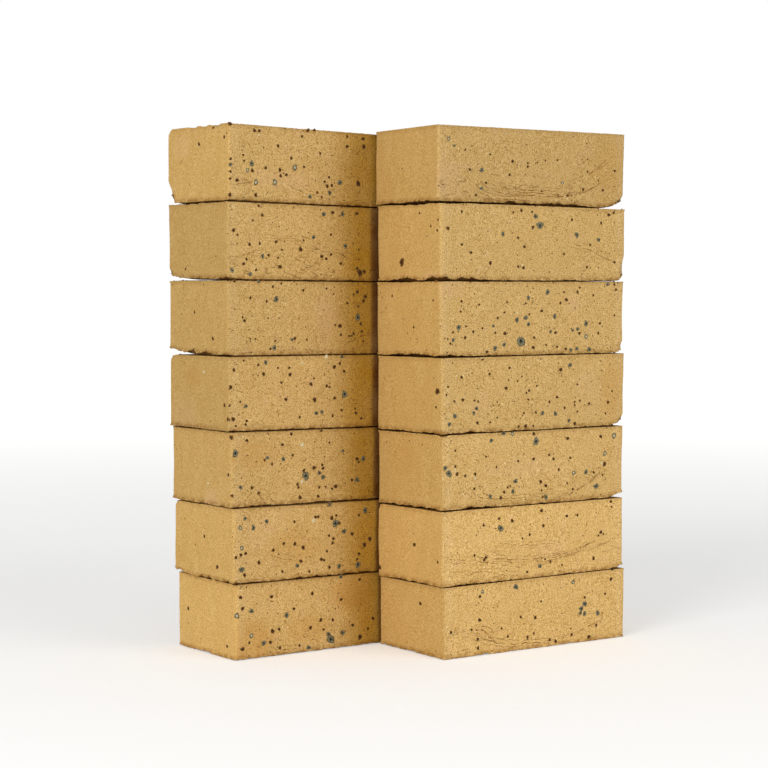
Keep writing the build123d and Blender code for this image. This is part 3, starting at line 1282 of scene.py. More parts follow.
# The spots that stand out on the faces that show, in millimetres, column by column from the top
SPOTTINGS = (
    Spotting(
        "right_brick_7",
        Face.STRETCHER,
        pits=(
            (29, 46, 2.5), (56, 43, 2.5), (34, 29, 3), (52, 18, 3), (41, 7, 3), (162, 16, 3.5),
            (185, 16, 3), (114, 13, 2.5), (144, 10, 3), (81, 38, 3.5), (98, 37, 2.5), (98, 34, 3),
            (78, 26, 3), (109, 38, 2), (118, 40, 2), (132, 41, 2.5), (167, 43, 2), (167, 32, 2.5),
            (199, 33, 3), (133, 10, 2),
        ),
        slates=((47, 29, 5), (47, 13, 4), (17, 49, 3)),
        eyed=((11, 55, 3.8), (138, 21, 3.5)),
    ),
    Spotting(
        "right_brick_6",
        Face.STRETCHER,
        pits=(
            (8, 46, 4), (23, 61, 3), (23, 32, 3), (169, 34, 3), (182, 55, 3), (191, 63, 4),
            (198, 18, 3), (165, 13, 3), (138, 25, 3), (89, 64, 3.5), (80, 62, 2.5), (101, 63, 2.5),
            (102, 49, 3.5), (85, 39, 3), (92, 31, 3.5), (33, 25, 3.5), (54, 16, 4), (85, 13, 3),
            (91, 12, 3.5), (147, 57, 3), (197, 65, 3),
        ),
        slates=((110, 51, 8), (105, 59, 5), (68, 42, 4.5), (153, 43, 5.5), (179, 39, 4.5)),
    ),
    Spotting(
        "right_brick_6",
        Face.HEADER,
        pits=((61, 17, 8.5), (32, 60, 2.5), (14, 48, 2.5), (4, 44, 3), (3, 53, 2.5)),
    ),
    Spotting(
        "right_brick_5",
        Face.STRETCHER,
        pits=(
            (23, 49, 3), (22, 40, 2.5), (42, 46, 2.5), (28, 27, 2.5), (14, 22, 2.5), (8, 16, 2),
            (27, 17, 3.5), (11, 12, 2.5), (63, 34, 3), (46, 25, 2.5), (71, 39, 2.5), (74, 48, 2.5),
            (99, 37, 2.5), (95, 47, 2.5), (113, 40, 3.5), (135, 47, 3), (142, 50, 4), (139, 57, 2.5),
            (155, 57, 3), (158, 61, 2.5), (157, 19, 3.5), (129, 20, 3.5), (71, 20, 4), (141, 5, 3.5),
            (131, 7, 3), (103, 7, 4), (118, 9, 2.5), (104, 16, 3), (201, 59, 3), (199, 64, 3),
            (200, 35, 2.5), (174, 54, 2.5), (182, 28, 3), (180, 19, 3), (51, 4, 3.5), (36, 22, 3),
            (60, 21, 2.5),
        ),
        slates=(
            (14, 15, 4), (58, 27, 3.5), (85, 32, 5), (95, 34, 5), (98, 28, 4.5), (98, 52, 4.5),
            (120, 57, 5.5), (128, 35, 5), (165, 28, 5.5), (155, 23, 4), (149, 22, 3.5), (123, 21, 3.5),
            (70, 10, 4.5), (60, 7, 5), (169, 4, 5), (154, 5, 4.5), (147, 4, 4), (191, 64, 4.5),
            (20, 26, 5.5), (89, 13, 11),
        ),
        eyed=((165, 16, 5),),
    ),
    Spotting(
        "right_brick_4",
        Face.STRETCHER,
        pits=(
            (22, 50, 3.5), (53, 52, 3), (45, 65, 3), (23, 30, 3.5), (14, 29, 2.5), (39, 9, 3.5),
            (40, 28, 2.5), (36, 29, 2.5), (53, 9, 2.5), (61, 13, 2.5), (61, 27, 2), (75, 57, 3),
            (71, 39, 4), (74, 46, 2), (84, 45, 2.5), (89, 49, 2), (97, 36, 3), (94, 34, 2.5),
            (106, 40, 2.5), (96, 28, 2.5), (134, 54, 4.5), (130, 29, 3.5), (121, 25, 3), (105, 16, 3),
            (91, 16, 2.5), (93, 4, 4), (85, 4, 3), (102, 4, 2.5), (151, 4, 4), (151, 24, 2.5),
            (151, 21, 2.5), (157, 25, 2.5), (168, 22, 3), (191, 22, 3.5), (139, 19, 3), (154, 15, 2.5),
            (196, 32, 2.5), (188, 12, 2.5), (7, 42, 2.5), (5, 35, 2.5), (154, 40, 2.5),
        ),
        slates=(
            (14, 16, 5), (8, 9, 4.5), (35, 18, 4), (38, 22, 4), (145, 58, 5), (128, 14, 5),
            (113, 15, 4.5), (144, 7, 4),
        ),
    ),
    Spotting("right_brick_5", Face.HEADER, pits=((75, 54, 3), (10, 50, 2.5), (41, 26, 3))),
    Spotting("right_brick_4", Face.HEADER, pits=((6, 38, 7), (8, 24, 3))),
    Spotting(
        "right_brick_3",
        Face.STRETCHER,
        pits=(
            (188, 32, 5), (103, 64, 4), (143, 58, 4), (183, 58, 4), (14, 53, 2.5), (48, 46, 2.5),
            (85, 40, 3), (103, 41, 3.5), (121, 44, 3), (126, 40, 3.5), (146, 40, 3), (132, 30, 3),
            (175, 25, 3), (186, 22, 2.5), (14, 39, 3), (16, 32, 4), (25, 30, 3), (36, 31, 3.5),
            (111, 20, 4), (117, 16, 4), (112, 12, 2.5), (76, 18, 2.5), (73, 17, 2.5), (69, 13, 3.5),
            (35, 18, 3), (65, 8, 4), (149, 11, 3), (142, 17, 2.5), (60, 36, 2.5), (113, 6, 3),
        ),
        slates=(
            (3, 38, 5), (7, 33, 7), (106, 57, 8), (178, 12, 6), (68, 66, 5), (54, 60, 4.5),
            (165, 26, 5), (82, 22, 5), (79, 13, 4.5), (53, 10, 4.5), (117, 5.5, 5.5),
        ),
        eyed=((188, 42, 5), (150, 26, 5), (78, 65, 4.5), (199, 58, 6)),
        pebbles=((36, 27, 2.5), (184, 33, 2.5), (14, 36, 2)),
    ),
    Spotting(
        "right_brick_2",
        Face.STRETCHER,
        pits=(
            (196, 64, 3.5), (183, 36, 4), (174, 12, 4), (63, 57, 3), (46, 52, 3), (78, 54, 4),
            (98, 40, 3), (90, 37, 2.5), (112, 61, 4), (114, 47, 3.5), (142, 54, 3.5), (155, 54, 3),
            (197, 59, 2.5), (186, 34, 2.5), (180, 33, 2.5), (35, 26, 3), (48, 23, 3.5), (46, 21, 3.5),
            (116, 16, 2.5), (122, 13, 3), (95, 6, 3), (136, 9, 2.5),
        ),
        slates=((65, 48, 7), (110, 10, 4.5)),
    ),
    Spotting("right_brick_2", Face.HEADER, pits=((43, 34, 4.5), (7, 22, 3), (97, 8, 5))),
    Spotting(
        "right_brick_1",
        Face.STRETCHER,
        pits=(
            (103, 28, 4), (167, 4, 4.5), (194, 55, 4), (39, 53, 3.5), (162, 41, 3), (187, 42, 3),
            (110, 42, 2.5), (39, 32, 4), (86, 30, 3), (176, 14, 3.5), (30, 24, 3), (7, 24, 3.5),
            (37, 15, 3.5), (37, 7, 3.5), (64, 22, 2.5), (71, 14, 3), (101, 14, 2.5), (94, 11, 3.5),
            (120, 6, 3.5), (127, 4, 4), (146, 8, 3.5), (145, 14, 2),
        ),
        slates=((158, 31, 6), (162, 35, 6), (162, 26, 5), (157, 27, 4), (80, 58, 6), (178, 25, 5.5)),
        eyed=((148, 56, 4.5), (42, 57, 4)),
    ),
    Spotting("right_brick_1", Face.HEADER, pits=((36, 46, 4),)),
    Spotting(
        "left_brick_7",
        Face.STRETCHER,
        pits=(
            (27, 62, 4), (32, 62, 3.5), (52, 50, 3.5), (66, 40, 3.5), (2, 36, 3), (2, 25, 3),
            (2, 19, 3), (9, 18, 4), (25, 27, 4), (39, 30, 3.5), (54, 29, 4), (55, 24, 3.5),
            (61, 25, 3.5), (29, 6, 4), (2, 5, 4), (141, 21, 6), (147, 55, 5), (1, 66, 4), (84, 65, 4),
            (91, 66, 3), (78, 60, 3), (128, 63, 3), (128, 54, 4), (146, 62, 4), (80, 33, 3),
            (98, 46, 3), (108, 25, 3), (103, 21, 3), (106, 17, 4), (111, 18, 3.5), (95, 11, 3),
            (100, 7, 3), (15, 40, 2.5), (16, 35, 2.5),
        ),
        slates=((24, 33, 5.5), (2, 31, 4), (120, 21, 5.5), (109, 11, 4.5), (87, 7, 4.5)),
        eyed=((49, 18, 5.5), (70, 32, 6), (29, 17, 5.5), (20, 27, 4)),
    ),
    Spotting("left_brick_7", Face.HEADER, pits=((7, 55, 3.5), (47, 51, 4), (25, 64, 3))),
    Spotting(
        "left_brick_6",
        Face.STRETCHER,
        pits=(
            (6, 43, 4), (36, 57, 3.5), (34, 32, 3), (23, 31, 3.5), (51, 34, 3.5), (17, 14, 3.5),
            (32, 65, 3), (26, 52, 2.5), (10, 39, 2.5), (43, 22, 3), (53, 20, 2.5), (57, 27, 2.5),
            (20, 18, 3), (30, 9, 3), (55, 12, 4.5), (77, 28, 5), (80, 36, 2.5), (112, 62, 4),
            (139, 62, 4), (110, 42, 3), (100, 22, 4), (105, 20, 3.5), (110, 24, 3), (121, 16, 3.5),
            (141, 29, 2.5), (139, 12, 3.5), (142, 8, 7), (147, 9, 4),
        ),
        slates=(
            (5, 8, 4.5), (37, 21, 4.5), (24, 5, 4.5), (91, 39, 4.5), (102, 60, 5), (123, 61, 5),
            (126, 32, 5),
        ),
    ),
    Spotting("left_brick_6", Face.HEADER, pits=((71, 9, 3), (96, 4, 3))),
    Spotting(
        "left_brick_5",
        Face.STRETCHER,
        pits=(
            (7, 66, 3), (47, 61, 3), (56, 64, 2.5), (24, 51, 3), (41, 48, 3), (80, 58, 3),
            (105, 60, 2.5), (113, 55, 2), (139, 57, 4), (135, 55, 2.5), (148, 53, 4.5), (146, 49, 4),
            (128, 47, 3), (140, 44, 2.5), (143, 28, 3.5), (120, 26, 4.5), (115, 27, 2.5), (121, 18, 3),
            (135, 19, 3), (133, 17, 2.5), (130, 17, 2.5), (144, 21, 3), (16, 34, 2.5), (18, 31, 3.5),
            (43, 33, 2), (71, 15, 3.5), (84, 14, 2.5), (45, 6, 3), (50, 13, 2.5), (24, 15, 2),
            (29, 15, 2), (146, 12, 2.5),
        ),
        slates=((51, 50, 6), (32, 66, 3.5), (140, 34, 7), (68, 14, 3.5), (49, 7, 5)),
    ),
    Spotting("left_brick_5", Face.HEADER, pits=((56, 38, 3), (25, 15, 4))),
    Spotting(
        "left_brick_4",
        Face.STRETCHER,
        pits=(
            (91, 26, 5), (5, 54, 3.5), (2, 39, 4), (15, 62, 2.5), (30, 58, 3), (36, 50, 4),
            (51, 55, 2.5), (63, 55, 3), (64, 49, 4), (55, 42, 3), (87, 40, 4), (90, 45, 2.5),
            (60, 27, 4), (104, 38, 3.5), (107, 37, 2.5), (112, 55, 4.5), (118, 58, 3.5),
            (123, 51, 3.5), (113, 27, 3.5), (121, 16, 3), (137, 13, 3.5), (136, 17, 2.5), (111, 11, 3),
            (143, 8, 3), (12, 26, 2.5), (1, 23, 2.5), (5, 11, 4.5), (19, 9, 3), (18, 6, 3),
            (75, 11, 3), (8, 5, 2.5),
        ),
        slates=((124, 30, 7), (38, 60, 4.5), (99, 15, 4), (93, 14, 4.5), (120, 64, 4), (18, 22, 4)),
        pebbles=((103, 64, 4), (77, 59, 2.5)),
    ),
    Spotting("left_brick_4", Face.HEADER, pits=((8, 23, 4), (2, 11, 4)), pebbles=((42, 51, 3),)),
    Spotting(
        "left_brick_3",
        Face.STRETCHER,
        pits=(
            (16, 59, 3.5), (63, 63, 3.5), (54, 54, 3.5), (65, 44, 3), (35, 41, 3), (43, 37, 3),
            (22, 17, 3.5), (1, 11, 3), (29, 12, 3.5), (77, 30, 3.5), (88, 32, 4.5), (97, 34, 3),
            (98, 31, 3.5), (70, 18, 3.5), (71, 15, 3), (73, 6, 4.5), (93, 6, 3.5), (94, 14, 3),
            (101, 14, 2.5), (112, 14, 4.5), (108, 12, 3), (130, 19, 3.5), (136, 38, 4), (138, 35, 3),
            (105, 54, 2.5), (95, 65, 3),
        ),
        slates=(
            (4, 48, 7), (79, 25, 8.5), (55, 41, 4.5), (38, 43, 4), (10, 18, 4.5), (94, 27, 4.5),
            (98, 23, 5), (136, 19, 5.5), (143, 38, 5.5), (120, 46, 3.5),
        ),
        pebbles=((75, 53, 4), (75, 20, 3.5)),
    ),
    Spotting("left_brick_3", Face.HEADER, pits=((5, 29, 3.5), (1, 62, 4)), pebbles=((39, 19, 3),)),
    Spotting(
        "left_brick_2",
        Face.STRETCHER,
        pits=(
            (64, 52, 3), (3, 24, 3.5), (8, 26, 3.5), (13, 27, 3.5), (12, 8, 4), (27, 18, 4),
            (42, 28, 3.5), (53, 33, 3.5), (65, 32, 4), (74, 28, 4.5), (72, 16, 4), (87, 55, 3.5),
            (90, 55, 3.5), (105, 53, 4.5), (110, 55, 3), (113, 48, 4), (128, 37, 4), (135, 54, 3),
            (142, 26, 5), (148, 31, 5), (107, 34, 3.5), (106, 30, 3.5), (102, 37, 3), (100, 23, 3),
            (94, 16, 4), (97, 15, 3), (136, 18, 3.5), (134, 13, 3), (103, 8, 3.5), (81, 6, 3),
            (52, 8, 3),
        ),
        slates=(
            (9, 13, 6), (109, 48, 7.5), (12, 58, 4), (21, 49, 5), (35, 54, 4.5), (68, 12, 4.5),
            (102, 67, 5), (119, 40, 5.5), (142, 58, 6), (114, 8, 5), (135, 8, 6.5),
        ),
        eyed=((7, 50, 4.5), (9, 32, 4.5)),
        pebbles=((85, 52, 4),),
    ),
    Spotting("left_brick_2", Face.HEADER, pits=((27, 13, 4.5), (49, 38, 3.5))),
    Spotting(
        "left_brick_1",
        Face.STRETCHER,
        pits=(
            (7, 46, 4), (5, 56, 4), (37, 54, 4), (61, 41, 3.5), (14, 15, 3), (7, 10, 4.5), (36, 13, 4),
            (38, 23, 5), (45, 24, 3.5), (46, 7, 3.5), (81, 53, 4), (112, 45, 3.5), (90, 28, 4),
            (79, 22, 4), (93, 19, 3), (103, 27, 3.5), (133, 8, 5.5), (125, 20, 3.5), (142, 15, 3),
            (148, 24, 4), (133, 62, 3.5), (67, 7, 3),
        ),
        slates=(
            (101, 9, 9), (99, 14, 6), (16, 43, 5), (53, 36, 5.5), (29, 13, 5.5), (114, 14, 5.5),
            (77, 4, 5), (112, 66, 5),
        ),
        eyed=((1, 40, 5), (16, 21, 5)),
    ),
    Spotting("left_brick_1", Face.HEADER, pits=((83, 36, 4), (16, 11, 3.5))),
)


class Cover:
    """A piece that a geometry tree lays on all the skins. Each kind has a tree of its own."""

    title = ""

    def tree(self) -> GeometryTree:
        """The tree that turns the skins into the piece.

        Returns:
            The tree, with its inputs' values.
        """
        raise NotImplementedError

    def build(self, skins: list[bpy.types.Object]) -> bpy.types.Object:
        """Copies the skins into one mesh, and lets the tree turn it into the piece.

        Args:
            skins: the finished skins.

        Returns:
            The finished piece.
        """
        whole = bmesh.new()
        for skin in skins:
            whole.from_mesh(skin.data)
        piece = link(self.title, fixed(self.title, whole))
        self.tree().apply(piece)
        return set_down(piece)


@dataclass
class IronSpots(Cover):
    """Spots of iron: the larger ones listed where they show, the rest scattered."""

    title = "iron_spots"
    glaze: bpy.types.Material
    density: float = 5000.0
    smallest: float = 0.3
    largest: float = 0.95
    wildest: float = 3.2
    thickest: float = 1.2
    cluster_size: float = 24.0
    variants: int = 4
    seed: int = 5

    def shapes(self, label: str, around: int, *rings: tuple[float, float]) -> dict[str, bpy.types.Object]:
        """Low uneven blisters with a crater, one unit in radius.

        Args:
            label: what the inputs that hold them are called, before a number.
            around: how many points each ring has.
            rings: each ring's radius and height, from the rim inwards.

        Returns:
            Several such shapes, which hold how far out each point is.
        """
        found = {}
        waves = ((2, 0.13, 1.0), (3, 0.11, 1.7), (5, 0.1, 2.3), (7, 0.06, 3.1))
        for variant in range(self.variants):
            verts = []
            outs = []
            faces = []
            for ring, (radius, height) in enumerate(rings):
                for k in range(around):
                    angle = 2 * math.pi * (k + 0.5 * (ring % 2)) / around
                    swells = (size * math.sin(count * angle + turn * variant) for count, size, turn in waves)
                    reach = radius * (1 + sum(swells) * radius)
                    verts.append((reach * math.cos(angle), reach * math.sin(angle), height))
                    outs.append(radius)
            verts.append((0, 0, rings[-1][1]))
            outs.append(0.0)
            for ring in range(len(rings) - 1):
                for k in range(around):
                    a, b = ring * around + k, ring * around + (k + 1) % around
                    faces.append((a, b, b + around, a + around))
            last = (len(rings) - 1) * around
            faces.extend((last + k, last + (k + 1) % around, len(verts) - 1) for k in range(around))
            mesh = bpy.data.meshes.new(label)
            mesh.from_pydata(verts, [], faces)
            mesh.polygons.foreach_set("use_smooth", [True] * len(mesh.polygons))
            store(mesh, {"out": outs})
            found[f"{label} {variant}"] = bpy.data.objects.new(label, mesh)
        return found

    def placed(self) -> bpy.types.Object:
        """The places of the larger spots.

        Returns:
            An object with a point on the solid's face for each spot, and the spot's radius and kind.
        """
        points = []
        facts = []
        for spotting in SPOTTINGS:
            form = Form.measure(spotting.brick)
            highest = form.spans[2] - 1
            for kind in Kind:
                for from_arris, up, width in getattr(spotting, kind.name.lower()):
                    x, y = (from_arris, 0.0) if spotting.face is Face.STRETCHER else (0.0, from_arris)
                    points.extend(form.settle([[x, y, min(up, highest)]]).tolist())
                    facts.append((width / 2 * MM, *kind.value))
        mesh = bpy.data.meshes.new("placed_spots")
        mesh.from_pydata(points, [], [])
        store(mesh, dict(zip(("reach", "slate", "eyed"), zip(*facts))))
        return bpy.data.objects.new("placed_spots", mesh)

    def plant(
        self, tree: GeometryTree, points: Socket, rotation: Socket, label: str, radius: Socket
    ) -> Socket:
        """Adds the nodes that put a shape on every point.

        Args:
            tree: the geometry tree.
            points: the points.
            rotation: how each shape is turned, so that it lies on the face.
            label: what the inputs that hold the shapes are called, before a number.
            radius: each spot's radius.

        Returns:
            The instances' output.
        """
        g, given = tree.graph, tree.inputs
        shapes = g.add("GeometryNodeJoinGeometry")
        for variant in range(self.variants):
            spot = g.add("GeometryNodeObjectInfo", Object=given[f"{label} {variant}"], As_Instance=True)
            g.plug(shapes.inputs[0], spot.outputs["Geometry"])
        settings = {"data_type": "INT"}
        pick = g.add("FunctionNodeRandomValue", settings, Min_002=0, Max_002=self.variants - 1).outputs[2]
        angle = g.product(g.dice(tree.seed), 2 * math.pi)
        spin = g.add("FunctionNodeAxisAngleToRotation", Axis=(0.0, 0.0, 1.0), Angle=angle).outputs[0]
        settings = {"rotation_space": "LOCAL"}
        turned = g.add("FunctionNodeRotateRotation", settings, Rotation=rotation, Rotate_By=spin)
        flat = g.maths("MINIMUM", radius, given["Thickest"])
        scale = g.add("ShaderNodeCombineXYZ", X=radius, Y=radius, Z=flat).outputs[0]
        inputs = {"Points": points, "Instance": shapes.outputs[0], "Rotation": turned.outputs[0]}
        inputs |= {"Scale": scale, "Pick_Instance": True, "Instance_Index": pick}
        return g.add("GeometryNodeInstanceOnPoints", **inputs).outputs[0]

    def tree(self) -> GeometryTree:
        """The tree that places and scatters the spots.

        Returns:
            The tree, with its inputs' values.
        """
        values = lengths(self, "smallest", "largest", "wildest", "thickest")
        values |= self.shapes("Small Spot", 7, (1.0, -0.3), (0.75, 0.2))
        values |= self.shapes("Large Spot", 20, (1.0, -0.4), (0.85, 0.14), (0.55, 0.2), (0.28, 0.05))
        values |= {"Density": self.density, "Seed": self.seed, "Placed": self.placed(), "Glaze": self.glaze}
        tree = GeometryTree(self.title, values)
        g, given, skin = tree.graph, tree.inputs, tree.skin
        clusters = g.step(tree.noise(self.cluster_size * MM), 0.35, 0.65, 0.25, 1.75)
        sanded = g.step(g.stored("from_arris"), -1.0, 3.0, 0.3, 1.0)
        crowd = g.product(given["Density"], g.stored("open"), g.stored("speckle"), clusters, sanded)
        points = g.add("GeometryNodeDistributePointsOnFaces", Mesh=skin, Density=crowd, Seed=tree.seed)
        chance = g.dice(tree.seed)
        spread = g.maths("SUBTRACT", given["Largest"], given["Smallest"])
        usual = g.product(g.maths("POWER", chance, 2.5), spread)
        wild = g.product(g.maths("POWER", chance, 12.0), given["Wildest"], g.stored("wild"))
        radius = g.total(given["Smallest"], usual, wild)
        marked = g.marked(points.outputs["Points"], "slate", g.step(radius, 0.8 * MM, 1.5 * MM))
        marked = g.marked(marked, "eyed", g.step(chance, 0.998, 0.999))
        marked = g.marked(marked, "reach", radius)
        scattered = self.plant(tree, marked, points.outputs["Rotation"], "Small Spot", radius)

        marks = g.add("GeometryNodeObjectInfo", Object=given["Placed"]).outputs["Geometry"]
        by_hand = g.add("GeometryNodeMeshToPoints", Mesh=marks).outputs[0]
        nearest = g.add("GeometryNodeProximity", Geometry=skin).outputs["Position"]
        landed = g.moved(by_hand, Position=nearest)
        normal = g.add("GeometryNodeInputNormal").outputs[0]
        settings = {"data_type": "FLOAT_VECTOR"}
        lean = g.add("GeometryNodeSampleNearestSurface", settings, Mesh=skin, Value=normal).outputs[0]
        rotation = g.add("FunctionNodeAlignRotationToVector", {"axis": "Z"}, Vector=lean).outputs[0]
        placed = self.plant(tree, landed, rotation, "Large Spot", g.stored("reach"))
        both = g.add("GeometryNodeJoinGeometry")
        g.plug(both.inputs[0], placed)
        g.plug(both.inputs[0], scattered)
        tree.end(both.outputs[0], given["Glaze"])
        return tree


@dataclass(frozen=True)
class Crease:
    """A crease dragged into a stretcher: its way in millimetres from the near arris and the bed."""

    brick: str
    girth: float
    way: tuple[tuple[float, float], ...]


# The creases that stand out on the stretchers that show, drawn as dark threads of painted shade
CREASES = (
    Crease("right_brick_7", 0.45, ((46, 19), (52, 15), (60, 11.5), (72, 9), (105, 8.5), (124, 8))),
    Crease("right_brick_7", 0.4, ((124, 8), (143, 10), (161, 13), (170, 16.5), (184, 23))),
    Crease("right_brick_7", 0.3, ((60, 17), (74, 14), (92, 13), (112, 13.5), (128, 13))),
    Crease("right_brick_7", 0.3, ((44, 10), (56, 6), (70, 4.5), (96, 4))),
    Crease("right_brick_7", 0.3, ((150, 24), (163, 28), (178, 35), (188, 43))),
    Crease("right_brick_6", 0.25, ((150, 34), (166, 30), (180, 24), (194, 20))),
    Crease("right_brick_3", 0.35, ((28, 20), (39, 11), (52, 8), (87, 7), (117, 6))),
    Crease("right_brick_3", 0.35, ((126, 5), (143, 6.5), (158, 12), (172, 18), (183, 25))),
    Crease("right_brick_2", 0.35, ((41, 28), (58, 22), (87, 18), (116, 18), (146, 21), (170, 26))),
    Crease("right_brick_2", 0.3, ((7, 24), (35, 21), (63, 16), (87, 10))),
    Crease("right_brick_2", 0.3, ((110, 14), (130, 15), (152, 19), (175, 22), (195, 27))),
    Crease("right_brick_2", 0.25, ((63, 34), (92, 31), (128, 30))),
    Crease("right_brick_2", 0.25, ((25, 9), (45, 11), (62, 7), (80, 4))),
    Crease("right_brick_1", 0.5, ((34, 24), (44, 21), (48, 17), (55, 13))),
    Crease("right_brick_1", 0.4, ((36, 18), (43, 15), (52, 11.5), (63, 9), (81, 6.5), (110, 5))),
    Crease("right_brick_1", 0.25, ((110, 5), (140, 8), (165, 13), (185, 20))),
    Crease("left_brick_3", 0.5, ((29, 12), (33, 7), (37, 1))),
    Crease("left_brick_6", 0.3, ((36, 38), (52, 36), (70, 37), (84, 33), (99, 27))),
    Crease("left_brick_6", 0.3, ((16, 22), (30, 24), (46, 17), (60, 8), (74, 3))),
    Crease("left_brick_6", 0.3, ((58, 25), (72, 19), (86, 10), (98, 4))),
    Crease("left_brick_6", 0.25, ((84, 30), (104, 26), (122, 24), (140, 17))),
    Crease("left_brick_7", 0.3, ((60, 18), (76, 11), (92, 8), (110, 5))),
    Crease("left_brick_5", 0.3, ((126, 8), (136, 14), (146, 17), (152, 22))),
    Crease("left_brick_5", 0.3, ((132, 3), (142, 8), (151, 10))),
    Crease("left_brick_2", 0.25, ((40, 24), (50, 20), (62, 18))),
    Crease("left_brick_1", 0.3, ((36, 8), (50, 5), (64, 4))),
)


@dataclass
class CreaseShadeThreads(Cover):
    """Painted shade of the creases: fine dark raised lines that follow the skins, each with fainter strands
    beside it.

    A strand is so far along and up from its crease, and has so much of its girth.
    """

    title = "drag_creases"
    finish: bpy.types.Material
    strands: tuple[Triple, ...] = ((0, 0, 1), (7, 2.4, 0.55), (-5, -2.1, 0.45))
    jitter: float = 1.2
    jitter_size: float = 6.0
    shade_size: float = 3.0
    break_size: float = 5.0
    step: float = 1.0
    lowest: float = 0.5
    seed: int = 9

    def placed(self) -> bpy.types.Object:
        """The creases' lines, laid on the solids' faces.

        Returns:
            An object with the lines as edges, and how thick the crease is at each point.
        """
        points = []
        lines = []
        girths = []
        for crease in CREASES:
            form = Form.measure(crease.brick)
            for along, rise, share in self.strands:
                first = len(points)
                for x, up in crease.way:
                    points.extend(form.settle([[x + along, 0.0, max(up + rise, self.lowest)]]).tolist())
                lines.extend((k, k + 1) for k in range(first, len(points) - 1))
                girths.extend([share * crease.girth * MM] * len(crease.way))
        mesh = bpy.data.meshes.new("crease_lines")
        mesh.from_pydata(points, lines, [])
        store(mesh, {"girth": girths})
        return bpy.data.objects.new("crease_lines", mesh)

    def tree(self) -> GeometryTree:
        """The tree that draws the painted shade of every crease as a dark thread along its line.

        Returns:
            The tree, with its inputs' values.
        """
        values = lengths(self, "jitter", "jitter_size", "step")
        values |= {"Seed": self.seed, "Lines": self.placed(), "Finish": self.finish}
        tree = GeometryTree(self.title, values)
        g, given = tree.graph, tree.inputs
        lines = g.add("GeometryNodeObjectInfo", Object=given["Lines"]).outputs["Geometry"]
        curves = g.add("GeometryNodeMeshToCurve", Mesh=lines).outputs[0]
        settings = {"spline_type": "CATMULL_ROM"}
        curves = g.add("GeometryNodeCurveSplineType", settings, Curve=curves).outputs[0]
        inputs = {"Curve": curves, "Length": given["Step"]}
        curves = g.add("GeometryNodeResampleCurve", {"mode": "LENGTH"}, **inputs).outputs[0]
        inputs = {"Vector": tree.place, "W": tree.seed, "Detail": 2.0}
        inputs["Scale"] = g.per_metre(given["Jitter Size"])
        noise = g.add("ShaderNodeTexNoise", {"noise_dimensions": "4D"}, **inputs).outputs[1]
        pull = g.vector("SUBTRACT", noise, Vector_001=(0.5, 0.5, 0.5))
        offset = g.vector("SCALE", pull, Scale=g.product(given["Jitter"], 4.0))
        shaken = g.moved(curves, Offset=offset)
        nearest = g.add("GeometryNodeProximity", Geometry=tree.skin).outputs["Position"]
        landed = g.moved(shaken, Position=nearest)
        shade = g.step(tree.noise(self.shade_size * MM, 1), 0.3, 0.7, 0.5, 1.1)
        uneven = g.step(tree.noise(self.break_size * MM, 3, 0.6), 0.38, 0.62, 0.0, 1.3)
        ring = g.add("GeometryNodeCurvePrimitiveCircle", Resolution=5, Radius=1.0).outputs[0]
        inputs = {"Curve": g.marked(landed, "shade", shade), "Profile_Curve": ring}
        inputs["Scale"] = g.product(g.stored("girth"), uneven)
        tube = g.add("GeometryNodeCurveToMesh", **inputs).outputs[0]
        tree.end(tube, given["Finish"])
        return tree


@dataclass
class JointCrumbs(Cover):
    """Crumbs that lie on the ledges of the bed joints."""

    title = "joint_crumbs"
    finish: bpy.types.Material
    density: float = 50000.0
    smallest: float = 0.3
    largest: float = 1.5
    unevenness: float = 0.28
    cluster_size: float = 14.0
    shade_size: float = 3.0
    seed: int = 3

    def shape(self) -> bpy.types.Object:
        """One crumb: a small uneven lump.

        Returns:
            The lump, one unit in radius.
        """
        lump = bmesh.new()
        bmesh.ops.create_icosphere(lump, subdivisions=1, radius=1.0)
        for index, vert in enumerate(lump.verts):
            vert.co *= 1 + self.unevenness * math.sin(5.1 * index)
        return bpy.data.objects.new("crumb_shape", fixed("crumb_shape", lump))

    def tree(self) -> GeometryTree:
        """The tree that scatters the crumbs.

        Returns:
            The tree, with its inputs' values.
        """
        values = {"Density": self.density, "Seed": self.seed, "Crumb": self.shape(), "Finish": self.finish}
        tree = GeometryTree(self.title, values | lengths(self, "smallest", "largest"))
        g, given = tree.graph, tree.inputs
        patches = g.step(tree.noise(self.cluster_size * MM), 0.46, 0.66)
        crowd = g.product(given["Density"], g.stored("ledge"), patches)
        inputs = {"Mesh": tree.skin, "Density": crowd, "Seed": tree.seed}
        points = g.add("GeometryNodeDistributePointsOnFaces", **inputs)
        spread = g.maths("SUBTRACT", given["Largest"], given["Smallest"])
        chance = g.maths("POWER", g.dice(tree.seed), 2.0)
        size = g.maths("ADD", given["Smallest"], g.product(chance, spread))
        shade = g.step(tree.noise(self.shade_size * MM, 1), 0.35, 0.65)
        crumb = g.add("GeometryNodeObjectInfo", Object=given["Crumb"]).outputs["Geometry"]
        inputs = {"Points": g.marked(points.outputs["Points"], "shade", shade), "Instance": crumb}
        inputs |= {"Rotation": points.outputs["Rotation"], "Scale": size}
        tree.end(g.add("GeometryNodeInstanceOnPoints", **inputs).outputs[0], given["Finish"])
        return tree


@dataclass
class Stack:
    """The whole stack: both columns, and what lies on their bricks."""

    courses: int = 7

    def build(self) -> None:
        """Builds every brick, then what lies on them, and reports each piece."""
        wear = Wear(Clay().make())
        skins = [
            Brick(column, course, course == self.courses).build(wear)
            for column in Column
            for course in range(1, self.courses + 1)
        ]
        # The crumbs' material also colours the creases' painted shade.
        slag_and_crease_shade = Crumb().make()
        covers = (IronSpots(IronGlaze().make()), JointCrumbs(slag_and_crease_shade), CreaseShadeThreads(slag_and_crease_shade))
        for piece in skins + [cover.build(skins) for cover in covers]:
            log.info("%s: %d faces", piece.name, len(piece.data.polygons))


